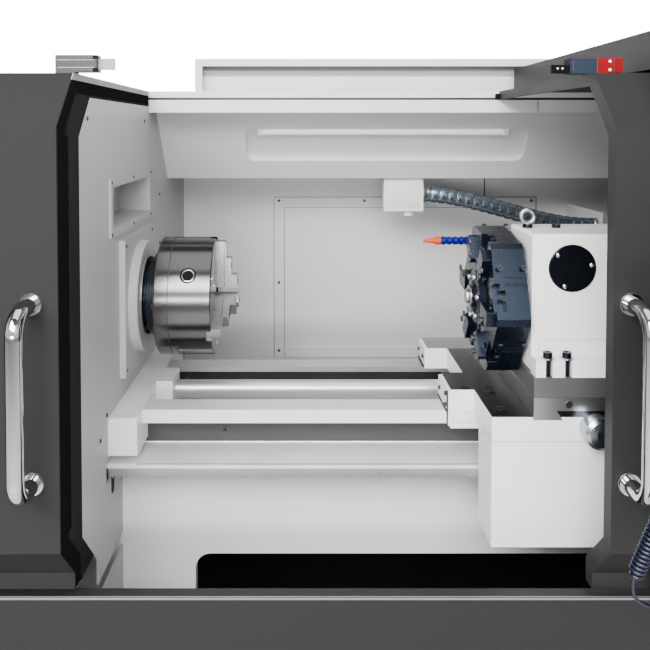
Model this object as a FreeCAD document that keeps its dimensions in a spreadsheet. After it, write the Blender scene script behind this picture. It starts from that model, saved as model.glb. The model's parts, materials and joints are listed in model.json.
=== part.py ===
"""Flat-bed CNC turning lathe with two sliding front doors, shown with the doors open.

Row frame, millimetres: +X runs along the spindle to the right, +Y goes to the back, +Z goes up.
The origin is on the floor under the middle of the machine. Depths are given from the spindle
axis, so that the working parts keep their places about it.
"""

import FreeCAD, Part
import math
import os

import Sketcher
from FreeCAD import Placement, Rotation, Vector

DOC = FreeCAD.newDocument("TurningLathe")
SHEET = DOC.addObject("Spreadsheet::Sheet", "Sizes")

# name, value in millimetres (degrees for angles, plain numbers for counts), what it is
SIZE_TABLE = [
    ("half_length", 1120, "centre to either end of the machine"),
    ("axis_depth", -55, "spindle axis behind the origin"),
    ("axis_height", 1120, "spindle axis above the floor"),
    ("sheet", 3, "sheet-metal wall"),
    ("sheet_gap", 0.3, "gap at a seat between two bodies"),
    ("front_face", 457, "base front before the axis"),
    ("back_face", 683, "back of the enclosure behind the axis"),
    ("foot_height", 120, "underside of the base above the floor"),
    ("sill_width", 24, "lip round the open top of the base"),
    ("kick_depth", 60, "toe recess under the apron"),
    ("kick_height", 90, "height of the toe recess"),
    ("foot_radius", 40, "levelling foot"),
    ("stem_radius", 12, "levelling screw"),
    ("door_width", 520, "door along the machine"),
    ("door_flange", 28, "folded leading edge of a door"),
    ("top_flange", 20, "folded edge along the top of a door"),
    ("seal_depth", 24, "rubber seal behind the left door's flange"),
    ("window_width", 300, "door window along the machine"),
    ("handle_radius", 12.5, "handle tube"),
    ("handle_reach", 70, "handle tube axis before the door face"),
    ("handle_bend", 34, "bend radius of a handle"),
    ("handle_inset_left", 41, "left handle from its leading edge"),
    ("handle_inset_right", 26, "right handle from its leading edge"),
    ("hood_gap", 6, "gap between a door and the hood"),
    ("front_way_front", 189, "front edge of the front way before the axis"),
    ("front_way_back", 132, "back edge of the front way before the axis"),
    ("rear_way_front", 74, "front edge of the rear way behind the axis"),
    ("rear_way_back", 128, "back edge of the rear way behind the axis"),
    ("way_thickness", 26, "height of the ground way faces"),
    ("ledge_front", 239, "front edge of the ledge before the axis"),
    ("bed_wall", 28, "cast wall of the bed"),
    ("bed_front_wall", 125, "front wall of the bed before the axis"),
    ("window_radius", 30, "corner of the chip window in the bed"),
    ("rack_module", 2, "module of the gear rack"),
    ("rack_teeth", 186, "teeth on the gear rack"),
    ("rack_width", 20, "rack along its depth"),
    ("rack_height", 18, "rack from seat to tooth tip"),
    ("foot_beam", 54, "headstock foot along the bed"),
    ("foot_beam_front", 235, "front of the headstock foot before the axis"),
    ("foot_beam_back", 300, "back of the headstock foot behind the axis"),
    ("plate_depth", 280, "spindle plate across"),
    ("plate_height", 275, "spindle plate high"),
    ("plate_thickness", 12, "spindle plate thick"),
    ("ring_radius", 119, "ring round the spindle nose"),
    ("ring_reach", 18, "ring before the spindle plate"),
    ("adapter_radius", 82, "spindle nose adapter"),
    ("adapter_length", 32, "adapter between ring and chuck"),
    ("chuck_radius", 125, "chuck"),
    ("backplate_length", 30, "chuck backplate along the axis"),
    ("chuck_length", 86, "chuck body along the axis"),
    ("chuck_bore", 25, "radius of the hole through the chuck"),
    ("jaw_width", 26, "chuck jaw across"),
    ("jaw_slot_depth", 12, "jaw slot into the chuck face"),
    ("jaw_play", 0.1, "running gap round a jaw"),
    ("jaw_inner", 19, "inner end of a jaw from the axis"),
    ("jaw_outer", 117, "outer end of a jaw from the axis"),
    ("pinion_radius", 16.4, "chuck key pinion"),
    ("pinion_socket", 6, "half of the square key socket"),
    ("spindle_radius", 60, "spindle shaft"),
    ("spindle_bore", 28, "hole through the spindle"),
    ("fit_gap", 0.05, "radial gap of a running fit"),
    ("headstock_half", 165, "half of the headstock across"),
    ("bearing_radius", 90, "spindle bearing outside"),
    ("bearing_width", 46, "spindle bearing along the axis"),
    ("pulley_radius", 95, "spindle pulley"),
    ("pulley_width", 60, "belt pulleys along the axis"),
    ("motor_radius", 110, "spindle motor"),
    ("motor_pulley_radius", 50, "motor pulley"),
    ("motor_depth", 270, "motor axis behind the spindle axis"),
    ("belt_thickness", 6, "belt"),
    ("niche_front", 215, "niche frame front before the axis"),
    ("niche_back", 164, "niche frame back behind the axis"),
    ("niche_border", 14, "niche frame border"),
    ("niche_recess", 70, "niche depth into the wall"),
    ("lamp_recess", 14, "depth of the lamp recess"),
    ("lamp_drop", 110, "lamp recess along the slope"),
    ("lamp_radius", 9, "lamp tube"),
    ("roof_box_depth", 170, "box on the roof along its depth"),
    ("roof_box_rim", 19, "rim round the open front of that box"),
    ("cover_border", 32, "border of the access cover"),
    ("conduit_height", 47, "metal conduit high"),
    ("conduit_depth", 30, "metal conduit deep"),
    ("conduit_links", 21, "links of the conduit"),
    ("conduit_sag", 16, "conduit under the straight line at its middle"),
    ("screw_radius", 19, "lead screw"),
    ("carriage_front", 345, "front of the carriage before the axis"),
    ("slide_gap", 0.2, "gap of the sliding faces"),
    ("slide_back", 110, "back of the cross slide behind the axis"),
    ("dovetail_half", 65.5, "half of the dovetail's top"),
    ("dovetail_undercut", 10.5, "dovetail's foot inside its top edge"),
    ("cap_radius", 27, "bearing cap of the cross screw"),
    ("cap_reach", 38, "that cap before the carriage"),
    ("turret_flat", 122, "turret axis to a station's face"),
    ("turret_corner", 136, "turret axis to a cut corner"),
    ("turret_stations", 6, "tool stations"),
    ("turret_turn", 8.5, "turn of the disc at rest, in degrees"),
    ("turret_pad", 20, "edge of a station's pad below its middle"),
    ("turret_slot_top", 47, "top of a tool slot above the middle of its face"),
    ("turret_slot_low", 10, "foot of a tool slot above the middle of its face"),
    ("turret_slot_depth", 22, "tool slot into the face"),
    ("turret_slot_width", 18, "tool slot along the axis"),
    ("clamp_reach", 14, "wedge clamps before the left face"),
    ("nozzle_depth", 70, "coolant nozzle before the axis"),
    ("ball_radius", 8.5, "balls of the coolant nozzle"),
    ("stop_radius", 20, "stop button head"),
    ("cabinet_depth", 150, "electrical cabinet body deep"),
    ("cord_wire", 2.5, "radius of the curly cord's wire"),
    ("cord_curl", 8.9, "radius of a curl to the wire's middle"),
    ("cord_curls", 28, "curls"),
    ("gland_reach", 14, "cord gland before the hood"),
    ("pendant_width", 80, "hand pendant across"),
    ("pendant_length", 190, "hand pendant high"),
    ("pendant_thickness", 34, "hand pendant deep"),
    ("left_support", 320, "left bed support along the machine"),
    ("right_support", 440, "right bed support along the machine"),
    ("bar_hole", 45, "radius of the opening for bar stock in the left cover"),
]

# name, the size that it is measured from, its distance in millimetres from there, what it is
PLACE_TABLE = [
    ("wall_face", "-half_length", 638, "right face of the headstock wall"),
    ("hood_left", "wall_face", 918, "left face of the right hood"),
    ("right_door_edge", "hood_left", -91, "leading edge of the right door"),
    ("bed_left", "half_length", -180, "left end of the bed before the middle"),
    ("bed_right", "half_length", -60, "right end of the bed"),
    ("tray_right", "bed_right", -60, "right end of the chip tray"),
    ("tank_left", "wall_face", 82, "left side of the coolant tank"),
    ("tank_right", "hood_left", -16, "right side of the coolant tank"),
    ("headstock_left", "wall_face", -443, "left face of the headstock"),
    ("chip_window_left", "wall_face", 147, "left end of the chip window"),
    ("chip_window_right", "hood_left", 104, "right end of the chip window"),
    ("roof_box_right", "hood_left", 140, "right end of the box on the roof"),
    ("lamp_left", "wall_face", 218, "left end of the lamp recess"),
    ("lamp_right", "hood_left", 23, "right end of the lamp recess"),
    ("lamp_tube_left", "lamp_left", 49, "left end of the lamp tube"),
    ("lamp_tube_right", "lamp_right", -72, "right end of the lamp tube"),
    ("roof_box_left", "wall_face", 81, "left end of the box on the roof"),
    ("cover_left", "wall_face", 275, "left edge of the access cover"),
    ("cover_right", "hood_left", 159, "right edge of the access cover"),
    ("cable_box_left", "wall_face", 584, "left side of the cable box"),
    ("cable_box_right", "cable_box_left", 107, "right side of the cable box"),
    ("conduit_end", "hood_left", 254, "conduit's end at its bracket"),
    ("gland_place", "hood_left", 32, "cord gland along the machine"),
    ("screw_right", "bed_right", -160, "right end of the lead screw"),
    ("carriage_left", "wall_face", 689, "left face of the carriage body"),
    ("carriage_right", "carriage_left", 354, "right face of the carriage body"),
    ("wing_left", "carriage_left", -44, "left end of the carriage wings"),
    ("wing_right", "carriage_right", 44, "right end of the carriage wings"),
    ("slide_left", "carriage_left", 72, "left side of the cross slide"),
    ("slide_right", "slide_left", 210, "right side of the cross slide"),
    ("housing_left", "slide_left", 3, "left side of the turret housing"),
    ("housing_right", "housing_left", 204, "right side of the turret housing"),
    ("turret_right", "housing_left", -7, "right face of the turret disc"),
    ("turret_left", "turret_right", -58, "left face of the turret disc"),
    ("nozzle_root", "housing_left", -30, "root of the coolant nozzle"),
    ("nozzle_tip", "nozzle_root", -121, "tip of the coolant nozzle"),
    ("panel_left", "hood_left", 34, "left side of the control box"),
    ("panel_right", "panel_left", 460, "right side of the control box"),
    ("pendant_place", "panel_left", -100, "hand pendant along the machine"),
    ("cabinet_left", "wall_face", 62, "left side of the electrical cabinet"),
    ("cabinet_right", "hood_left", -56, "right side of the electrical cabinet"),
    ("sill_height", "axis_height", -382, "top of the base"),
    ("way_top", "axis_height", -182, "top of the ways"),
    ("bed_foot", "way_top", -418, "underside of the bed"),
    ("trough_floor", "way_top", -138, "floor between the ways"),
    ("ledge_top", "way_top", -83, "ledge along the front of the bed"),
    ("foot_beam_low", "way_top", -72, "underside of the headstock foot"),
    ("chip_window_top", "way_top", -318, "top of the chip window"),
    ("tank_top", "bed_foot", -120, "top of the coolant tank"),
    ("roof_height", "axis_height", 427, "underside of the door rail"),
    ("rail_top", "roof_height", 21, "top of the door rail"),
    ("hood_top", "roof_height", 89, "top of the hood"),
    ("roof_box_top", "roof_height", 116, "top of the box on the roof"),
    ("wall_low", "sill_height", 67, "lower end of the wall's front edge"),
    ("wall_high", "roof_height", -81, "upper end of the wall's front edge"),
    ("door_bottom", "sill_height", 4, "lower edge of a door"),
    ("door_low", "sill_height", 101, "lower end of the upright door face"),
    ("door_high", "roof_height", -65, "upper end of the upright door face"),
    ("window_low", "door_low", 121, "lower edge of a door window"),
    ("window_high", "door_high", -82, "upper edge of a door window"),
    ("handle_low", "axis_height", -173, "lower seat of a handle"),
    ("handle_high", "axis_height", 98, "upper seat of a handle"),
    ("headstock_top", "axis_height", 150, "top of the headstock"),
    ("motor_height", "foot_height", 260, "motor axis above the floor"),
    ("niche_high", "roof_height", -163, "niche frame top edge"),
    ("niche_low", "niche_high", -112, "niche frame low edge"),
    ("beam_top", "roof_height", -27, "lamp beam's upper front edge"),
    ("beam_fold", "roof_height", -65, "lamp beam's fold"),
    ("beam_low", "roof_height", -200, "lamp beam's underside"),
    ("cover_top", "roof_height", -274, "top edge of the access cover"),
    ("cable_box_low", "beam_low", -91, "underside of the cable box"),
    ("conduit_start_height", "cable_box_low", 46, "conduit axis at the cable box"),
    ("conduit_end_height", "cable_box_low", -43, "conduit axis at the bracket"),
    ("screw_height", "way_top", -24, "lead screw axis above the floor"),
    ("carriage_joint", "way_top", 3, "joint between carriage and apron"),
    ("carriage_top", "way_top", 47, "top of the carriage"),
    ("apron_low", "way_top", -182, "underside of the carriage apron"),
    ("wing_low", "way_top", -28, "lower edge of a wing's skirt"),
    ("cap_height", "carriage_top", -20, "axis of that cap"),
    ("slide_low", "carriage_top", -7, "lower edge of the cross slide"),
    ("dovetail_top", "carriage_top", 9, "top of the dovetail"),
    ("slide_joint", "carriage_top", 33, "joint between the slide and its top plate"),
    ("slide_top", "carriage_top", 67, "top of the cross slide"),
    ("flange_top", "slide_top", 30, "top of the housing's foot flange"),
    ("turret_height", "slide_top", 110, "turret axis above the floor"),
    ("housing_top", "turret_height", 134, "top of the turret housing"),
    ("nozzle_height", "turret_height", 86, "coolant nozzle axis"),
    ("panel_low", "sill_height", 282, "underside of the control box"),
    ("panel_high", "panel_low", 420, "top of the control box"),
    ("pendant_low", "panel_low", 72, "underside of the hand pendant"),
    ("gland_height", "sill_height", 162, "cord gland above the floor"),
    ("cabinet_low", "sill_height", 22, "underside of the electrical cabinet"),
    ("cabinet_high", "roof_height", -47, "top of the electrical cabinet"),
    ("wall_front", "front_face", -54, "front edge of the headstock wall before the axis"),
    ("door_strip", "front_face", -15, "bottom strip of a door before the axis"),
    ("door_front", "front_face", 55, "door face before the axis"),
    ("hood_front", "door_front", 48, "front of the hood before the axis"),
    ("hood_brow", "hood_front", -136, "front edge of the hood's top before the axis"),
    ("panel_front", "hood_front", 140, "front of the control box before the axis"),
    ("stop_reach", "panel_front", 45, "tip of the stop button before the axis"),
    ("cabinet_back", "back_face", 172, "outermost point at the back behind the axis"),
    ("beam_top_depth", "back_face", -433, "lamp beam's upper front edge behind the axis"),
    ("beam_fold_depth", "beam_top_depth", 35, "lamp beam's fold behind the axis"),
    ("beam_low_depth", "beam_top_depth", 151, "lamp beam's lower front edge behind the axis"),
    ("beam_back_depth", "beam_top_depth", 210, "lamp beam's back behind the axis"),
    ("rail_depth", "beam_top_depth", -92, "door rail behind the axis"),
    ("cable_box_front", "beam_back_depth", -42, "front of the cable box behind the axis"),
    ("hood_step", "beam_top_depth", 110, "back of the raised part of the hood behind the axis"),
    ("roof_box_front", "hood_step", 0.3, "front of the box on the roof behind the axis"),
    ("bed_back_wall", "rear_way_back", -10, "back of the bed's rear wall behind the axis"),
    ("housing_front", "carriage_front", -28, "front of the turret housing before the axis"),
    ("housing_back", "housing_front", -137, "back of the turret housing before the axis"),
    ("turret_depth", "housing_front", -114, "turret axis before the spindle axis"),
    ("tank_back", "bed_front_wall", 25, "back of the coolant tank before the axis"),
    ("tank_front", "tank_back", 230, "front of the coolant tank before the axis"),
]


class Size:
    """A number that keeps the expression on the sheet that gives it."""

    def __init__(self, text, value):
        self.text = text
        self.value = float(value)

    @staticmethod
    def of(other):
        """Give a plain number the same form."""
        if isinstance(other, Size):
            return other
        return Size(f"{other:.9g}" if other >= 0 else f"({other:.9g})", other)

    def __add__(self, other):
        other = Size.of(other)
        return Size(f"({self.text} + {other.text})", self.value + other.value)

    def __sub__(self, other):
        other = Size.of(other)
        return Size(f"({self.text} - {other.text})", self.value - other.value)

    def __mul__(self, other):
        other = Size.of(other)
        return Size(f"({self.text} * {other.text})", self.value * other.value)

    def __truediv__(self, other):
        other = Size.of(other)
        return Size(f"({self.text} / {other.text})", self.value / other.value)

    def __neg__(self):
        return Size(f"(-1 * {self.text})", -self.value)

    def __radd__(self, other):
        return Size.of(other) + self

    def __rsub__(self, other):
        return Size.of(other) - self

    def __rmul__(self, other):
        return Size.of(other) * self

    def __float__(self):
        return self.value


class Sizes:
    """The driving dimensions and the places measured from them, each one as S.name."""

    def __init__(self, sizes, places):
        self.row = 0
        for name, value, meaning in sizes:
            setattr(self, name, self.write(name, value, meaning))
        for name, base, distance, meaning in places:
            start = getattr(self, base.lstrip("-"))
            if base.startswith("-"):
                start = -start
            setattr(self, name, start + self.write(f"{name}_step", distance, meaning))

    def write(self, name, value, meaning):
        """Put one number on the sheet under its alias."""
        self.row += 1
        SHEET.set(f"A{self.row}", name.replace("_", " "))
        SHEET.set(f"B{self.row}", str(value))
        SHEET.set(f"C{self.row}", meaning)
        SHEET.setAlias(f"B{self.row}", name)
        return Size(f"Sizes.{name}", value)


S = Sizes(SIZE_TABLE, PLACE_TABLE)
DOC.recompute()

NODES = {}
PLANES = {"X": "YZ_Plane", "Y": "XZ_Plane", "Z": "XY_Plane"}
AXIS_TURN = {
    "X": Rotation(Vector(0, 1, 0), 90),
    "Y": Rotation(Vector(1, 0, 0), -90),
    "Z": Rotation(),
}


def depth(from_axis):
    """Row depth of a place that is given from the spindle axis."""
    return S.axis_depth + from_axis


def bind(thing, field, size):
    """Tie one property to the sheet."""
    size = Size.of(size)
    if field.startswith("Placement") or "Sizes." in size.text:
        thing.setExpression(field, size.text)
    else:
        setattr(thing, field, size.value)


def place(thing, x, y, z, turn=None):
    """Put an object at a point that is tied to the sheet."""
    point = [Size.of(value) for value in (x, y, z)]
    thing.Placement = Placement(Vector(*[p.value for p in point]), turn or Rotation())
    for letter, size in zip("xyz", point):
        bind(thing, f"Placement.Base.{letter}", size)
    return thing


def node(thing, name):
    """Name a finished sub-part."""
    thing.Label = name
    NODES[name] = thing
    return thing


def box(name, x, y, z):
    """A block between pairs of faces; y is measured from the spindle axis."""
    thing = DOC.addObject("Part::Box", name)
    for field, (low, high) in (("Length", x), ("Width", y), ("Height", z)):
        bind(thing, field, Size.of(high) - low)
    return place(thing, x[0], depth(y[0]), z[0])


def rod(name, axis, start, end, centre, radius):
    """A round bar along an axis; depths are measured from the spindle axis."""
    thing = DOC.addObject("Part::Cylinder", name)
    bind(thing, "Radius", radius)
    bind(thing, "Height", Size.of(end) - start)
    first, second = centre
    if axis == "X":
        point = (start, depth(first), second)
    elif axis == "Y":
        point = (first, depth(start), second)
    else:
        point = (first, depth(second), start)
    return place(thing, *point, AXIS_TURN[axis])


def body_plane(body, role):
    """One of a body's own origin planes."""
    return next(item for item in body.Origin.OriginFeatures if item.Role == role)


def draw_polygon(sketch, points):
    """Closed outline whose corners are tied to the sheet."""
    corners = [(Size.of(u), Size.of(v)) for u, v in points]
    first = sketch.GeometryCount
    count = len(corners)
    for i, (u, v) in enumerate(corners):
        u2, v2 = corners[(i + 1) % count]
        sketch.addGeometry(
            Part.LineSegment(Vector(u.value, v.value, 0), Vector(u2.value, v2.value, 0)), False
        )
    for i in range(count):
        line, following = first + i, first + (i + 1) % count
        sketch.addConstraint(Sketcher.Constraint("Coincident", line, 2, following, 1))
    for i, pair in enumerate(corners):
        for kind, size in zip(("DistanceX", "DistanceY"), pair):
            number = sketch.addConstraint(
                Sketcher.Constraint(kind, -1, 1, first + i, 1, size.value)
            )
            if "Sizes." in size.text:
                sketch.setExpression(f"Constraints[{number}]", size.text)


def draw_circle(sketch, centre, radius):
    """Circle whose centre and radius are tied to the sheet."""
    u, v, r = Size.of(centre[0]), Size.of(centre[1]), Size.of(radius)
    circle = sketch.addGeometry(
        Part.Circle(Vector(u.value, v.value, 0), Vector(0, 0, 1), r.value), False
    )
    wanted = (
        (Sketcher.Constraint("DistanceX", -1, 1, circle, 3, u.value), u),
        (Sketcher.Constraint("DistanceY", -1, 1, circle, 3, v.value), v),
        (Sketcher.Constraint("Radius", circle, r.value), r),
    )
    for constraint, size in wanted:
        number = sketch.addConstraint(constraint)
        if "Sizes." in size.text:
            sketch.setExpression(f"Constraints[{number}]", size.text)


def prism(name, axis, outline, low, high, holes=(), circles=()):
    """Pad of an outline along an axis, as a body; depths are measured from the spindle axis.

    The outline holds (depth, height) for X, (x, height) for Y and (x, depth) for Z.
    """
    body = DOC.addObject("PartDesign::Body", name)
    sketch = body.newObject("Sketcher::SketchObject", name + "_outline")
    sketch.AttachmentSupport = [(body_plane(body, PLANES[axis]), "")]
    sketch.MapMode = "FlatFace"
    draw_polygon(sketch, outline)
    for hole in holes:
        draw_polygon(sketch, hole)
    for centre, radius in circles:
        draw_circle(sketch, centre, radius)
    pad = body.newObject("PartDesign::Pad", name + "_pad")
    pad.Profile = sketch
    bind(pad, "Length", Size.of(high) - low)
    pad.Reversed = axis == "Y"
    if axis == "X":
        return place(body, low, S.axis_depth, 0)
    if axis == "Y":
        return place(body, 0, depth(low), 0)
    return place(body, 0, S.axis_depth, low)


def turned(name, axis, outline, centre):
    """Revolution of (place along the axis, radius) points about an axis, as a body."""
    body = DOC.addObject("PartDesign::Body", name)
    sketch = body.newObject("Sketcher::SketchObject", name + "_outline")
    sketch.AttachmentSupport = [(body_plane(body, "XY_Plane"), "")]
    sketch.MapMode = "FlatFace"
    draw_polygon(sketch, outline)
    spin = body.newObject("PartDesign::Revolution", name + "_turning")
    spin.Profile = sketch
    spin.ReferenceAxis = (sketch, ["H_Axis"])
    spin.Angle = 360
    first, second = centre
    if axis == "X":
        return place(body, 0, depth(first), second)
    if axis == "Y":
        return place(body, first, S.axis_depth, second, Rotation(Vector(0, 0, 1), 90))
    return place(body, first, depth(second), 0, Rotation(Vector(0, 1, 0), -90))


def fuse(name, *things):
    """Several solids as one piece."""
    thing = DOC.addObject("Part::MultiFuse", name)
    thing.Shapes = list(things)
    return thing


def group(name, *things):
    """Several separate solids of one kind."""
    thing = DOC.addObject("Part::Compound", name)
    thing.Links = list(things)
    return thing


def cut(name, base, *tools):
    """A piece with others taken away."""
    thing = DOC.addObject("Part::Cut", name)
    thing.Base = base
    thing.Tool = tools[0] if len(tools) == 1 else fuse(name + "_tools", *tools)
    return thing


def common(name, first, second):
    """What two solids share."""
    thing = DOC.addObject("Part::Common", name)
    thing.Base, thing.Tool = first, second
    return thing


def rounded(name, base, radius, chosen):
    """Round the edges that the test picks."""
    DOC.recompute()
    numbers = [i for i, edge in enumerate(base.Shape.Edges, start=1) if chosen(edge)]
    thing = DOC.addObject("Part::Fillet", name)
    thing.Base = base
    thing.Edges = [(number, float(radius), float(radius)) for number in numbers]
    return thing


def along(axis, shortest=1.0):
    """Test for straight edges that run along an axis."""
    way = {"X": Vector(1, 0, 0), "Y": Vector(0, 1, 0), "Z": Vector(0, 0, 1)}[axis]

    def chosen(edge):
        if edge.Curve.TypeId != "Part::GeomLine" or edge.Length < shortest:
            return False
        return abs(edge.Curve.Direction.dot(way)) > 0.999

    return chosen


def offset(points, distance, closed=False):
    """A path moved to its left by a distance, with mitred corners."""
    spots = [(Size.of(u), Size.of(v)) for u, v in points]
    count = len(spots)
    moved = []
    for i, (u, v) in enumerate(spots):
        normals = []
        for a, b in ((i - 1, i), (i, i + 1)):
            if not closed and (a < 0 or b >= count):
                continue
            start, end = spots[a % count], spots[b % count]
            run = Vector(end[0].value - start[0].value, end[1].value - start[1].value, 0)
            run.normalize()
            normals.append(Vector(-run.y, run.x, 0))
        total = sum(normals[1:], normals[0])
        share = total * (1.0 / (1.0 + normals[0].dot(normals[-1]))) if len(normals) > 1 else total
        moved.append((u + distance * share.x, v + distance * share.y))
    return moved


def folded(points, thickness):
    """Outline of a folded sheet, from the path of its outer face."""
    return list(points) + list(reversed(offset(points, thickness)))


# ---------------------------------------------------------------- outlines of the enclosure

def door_path(grow=0.0):
    """Outer face of a door from its lower edge over the front to the rail, in depth and height."""
    path = [
        (-S.door_strip, S.door_bottom),
        (-S.door_strip, S.door_low - (S.door_front - S.door_strip)),
        (-S.door_front, S.door_low),
        (-S.door_front, S.door_high),
        (S.rail_top - S.door_high - S.door_front, S.rail_top),
        (S.rail_depth - S.sheet_gap, S.rail_top),
    ]
    return offset(path, grow) if grow else path


def door_flange_outline():
    """Folded edge of a door: deep at the front and the slants, shallow along the top."""
    path = door_path()
    inner = offset(path, -S.door_flange)
    under = S.rail_top - S.top_flange
    inner[4] = (under - (inner[3][1] - inner[3][0]), under)
    inner[5] = (inner[5][0], under)
    return path + list(reversed(inner))


def cover_path():
    """Outer face of the fixed left cover, in depth and height."""
    inset = S.door_flange + 3
    strip = S.door_strip - inset
    low_line = S.door_low - S.door_front + math.sqrt(2) * inset
    high_line = S.door_high + S.door_front - math.sqrt(2) * inset
    top = S.roof_height - 4
    return [
        (-strip, S.sill_height),
        (-strip, low_line + strip),
        (-S.front_face, low_line + S.front_face),
        (-S.front_face, high_line - S.front_face),
        (top - high_line, top),
        (S.rail_depth, top),
        (S.rail_depth, S.roof_height),
        (S.back_face, S.roof_height),
        (S.back_face, S.sill_height),
    ]


def hood_path():
    """Outer face of the right hood, in depth and height."""
    return [
        (-S.front_face, S.sill_height),
        (-S.hood_front, S.sill_height + (S.hood_front - S.front_face)),
        (-S.hood_front, S.hood_top - (S.hood_front - S.hood_brow)),
        (-S.hood_brow, S.hood_top),
        (S.hood_step, S.hood_top),
        (S.hood_step, S.roof_height),
        (S.back_face, S.roof_height),
        (S.back_face, S.sill_height),
    ]


def wall_edge():
    """Front, slants and top of the headstock wall, in depth and height."""
    return [
        (-(S.wall_front - 92), S.wall_low - 137),
        (-(S.wall_front - 92), S.wall_low - 92),
        (-S.wall_front, S.wall_low),
        (-S.wall_front, S.wall_high),
        (-(S.wall_front - 66), S.wall_high + 66),
        (S.rail_depth - 10, S.wall_high + 66),
    ]


# ---------------------------------------------------------------- base and bed

def make_base():
    """Welded base with an open top, its feet, the chip tray and the coolant tank."""
    length = (-S.half_length, S.half_length)
    plate = 6
    outer = box("base_outer", length, (-S.front_face, S.back_face), (S.foot_height, S.sill_height))
    inner = box(
        "base_inner",
        (-S.half_length + plate, S.half_length - plate),
        (-S.front_face + plate, S.back_face - plate),
        (S.foot_height + 8, S.sill_height - 4),
    )
    mouth = box(
        "base_mouth",
        (-S.half_length + S.sill_width, S.half_length - S.sill_width),
        (-S.front_face + S.sill_width, S.back_face - S.sill_width),
        (S.foot_height + 8, S.sill_height + 1),
    )
    kick = box(
        "base_kick",
        (-S.half_length - 1, S.half_length + 1),
        (-S.front_face - 1, -S.front_face + S.kick_depth),
        (S.foot_height - 1, S.foot_height + S.kick_height),
    )
    kick_plate = box(
        "base_kick_plate",
        length,
        (-S.front_face + S.kick_depth, -S.front_face + S.kick_depth + plate),
        (S.foot_height, S.foot_height + S.kick_height + plate),
    )
    kick_top = box(
        "base_kick_top",
        length,
        (-S.front_face, -S.front_face + S.kick_depth + plate),
        (S.foot_height + S.kick_height, S.foot_height + S.kick_height + plate),
    )
    shell = cut("base_shell", outer, inner, mouth, kick)

    feet = []
    for i, x in enumerate((-S.half_length + 90, Size.of(0), S.half_length - 90)):
        for j, y in enumerate((-S.front_face + 130, S.back_face - 90)):
            pad = rod(f"foot_pad_{i}{j}", "Z", 0, 22, (x, y), S.foot_radius)
            stem = rod(f"foot_stem_{i}{j}", "Z", 22, S.foot_height, (x, y), S.stem_radius)
            nut = rod(f"foot_nut_{i}{j}", "Z", S.foot_height - 16, S.foot_height, (x, y), 20)
            feet.append(fuse(f"foot_{i}{j}", pad, stem, nut))
    node(group("levelling_feet", *feet), "levelling_feet")

    supports = []
    ends = (
        (-S.bed_left + 60, -S.bed_left + 60 + S.left_support),
        (S.bed_right - 60 - S.right_support, S.bed_right - 60),
    )
    for i, (left, right) in enumerate(ends):
        block = box(f"support_block_{i}", (left, right), (-S.bed_front_wall, S.bed_back_wall),
                    (S.foot_height + 8, S.bed_foot))
        hollow = box(
            f"support_hollow_{i}",
            (left + 20, right - 20),
            (-S.bed_front_wall + 20, S.bed_back_wall - 20),
            (S.foot_height + 7, S.bed_foot - 24),
        )
        supports.append(cut(f"support_{i}", block, hollow))
    node(fuse("base_cabinet", shell, kick_plate, kick_top, *supports), "base_cabinet")

    tray_top = S.sill_height - 4
    tray = [
        (-S.front_face + S.sill_width, tray_top),
        (-S.front_face + S.sill_width, S.sill_height - 248),
        (-S.bed_front_wall - 110, S.bed_foot - 65),
        (-S.bed_front_wall - S.sheet_gap, S.bed_foot - 20),
    ]
    sheet = prism("tray_sheet", "X", folded(tray, S.sheet), S.wall_face, S.tray_right)
    brim = S.sill_height - 98
    end = [(tray[0][0], brim), *tray[1:], (tray[-1][0], brim)]
    ends = [
        prism(f"tray_end_{i}", "X", end, x, x + S.sheet)
        for i, x in enumerate((S.wall_face - S.sheet, S.tray_right))
    ]
    rim = box("tray_rim", (S.wall_face, S.tray_right), (-S.front_face + 7, -S.front_face + S.sill_width),
              (tray_top - 3, tray_top))
    node(fuse("chip_tray", sheet, rim, *ends), "chip_tray")

    wall, floor = 4, S.foot_height + 8
    tank = box("tank_outer", (S.tank_left, S.tank_right), (-S.tank_front, -S.tank_back),
               (floor, S.tank_top))
    tank_inner = box("tank_inner", (S.tank_left + wall, S.tank_right - wall),
                     (-S.tank_front + wall, -S.tank_back - wall), (floor + wall, S.tank_top + 1))
    tank = cut("tank_shell", tank, tank_inner)
    lid = box("pump_lid", (S.tank_right - 170, S.tank_right), (-S.tank_front, -S.tank_back),
              (S.tank_top, S.tank_top + wall))
    pump = (S.tank_right - 90, -S.tank_front + 105)
    motor = rod("pump_motor", "Z", S.tank_top + wall, S.tank_top + 40, pump, 60)
    shaft = rod("pump_shaft", "Z", floor + 52, S.tank_top + wall, pump, 25)
    node(fuse("coolant_tank", tank, lid, motor, shaft), "coolant_tank")


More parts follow.
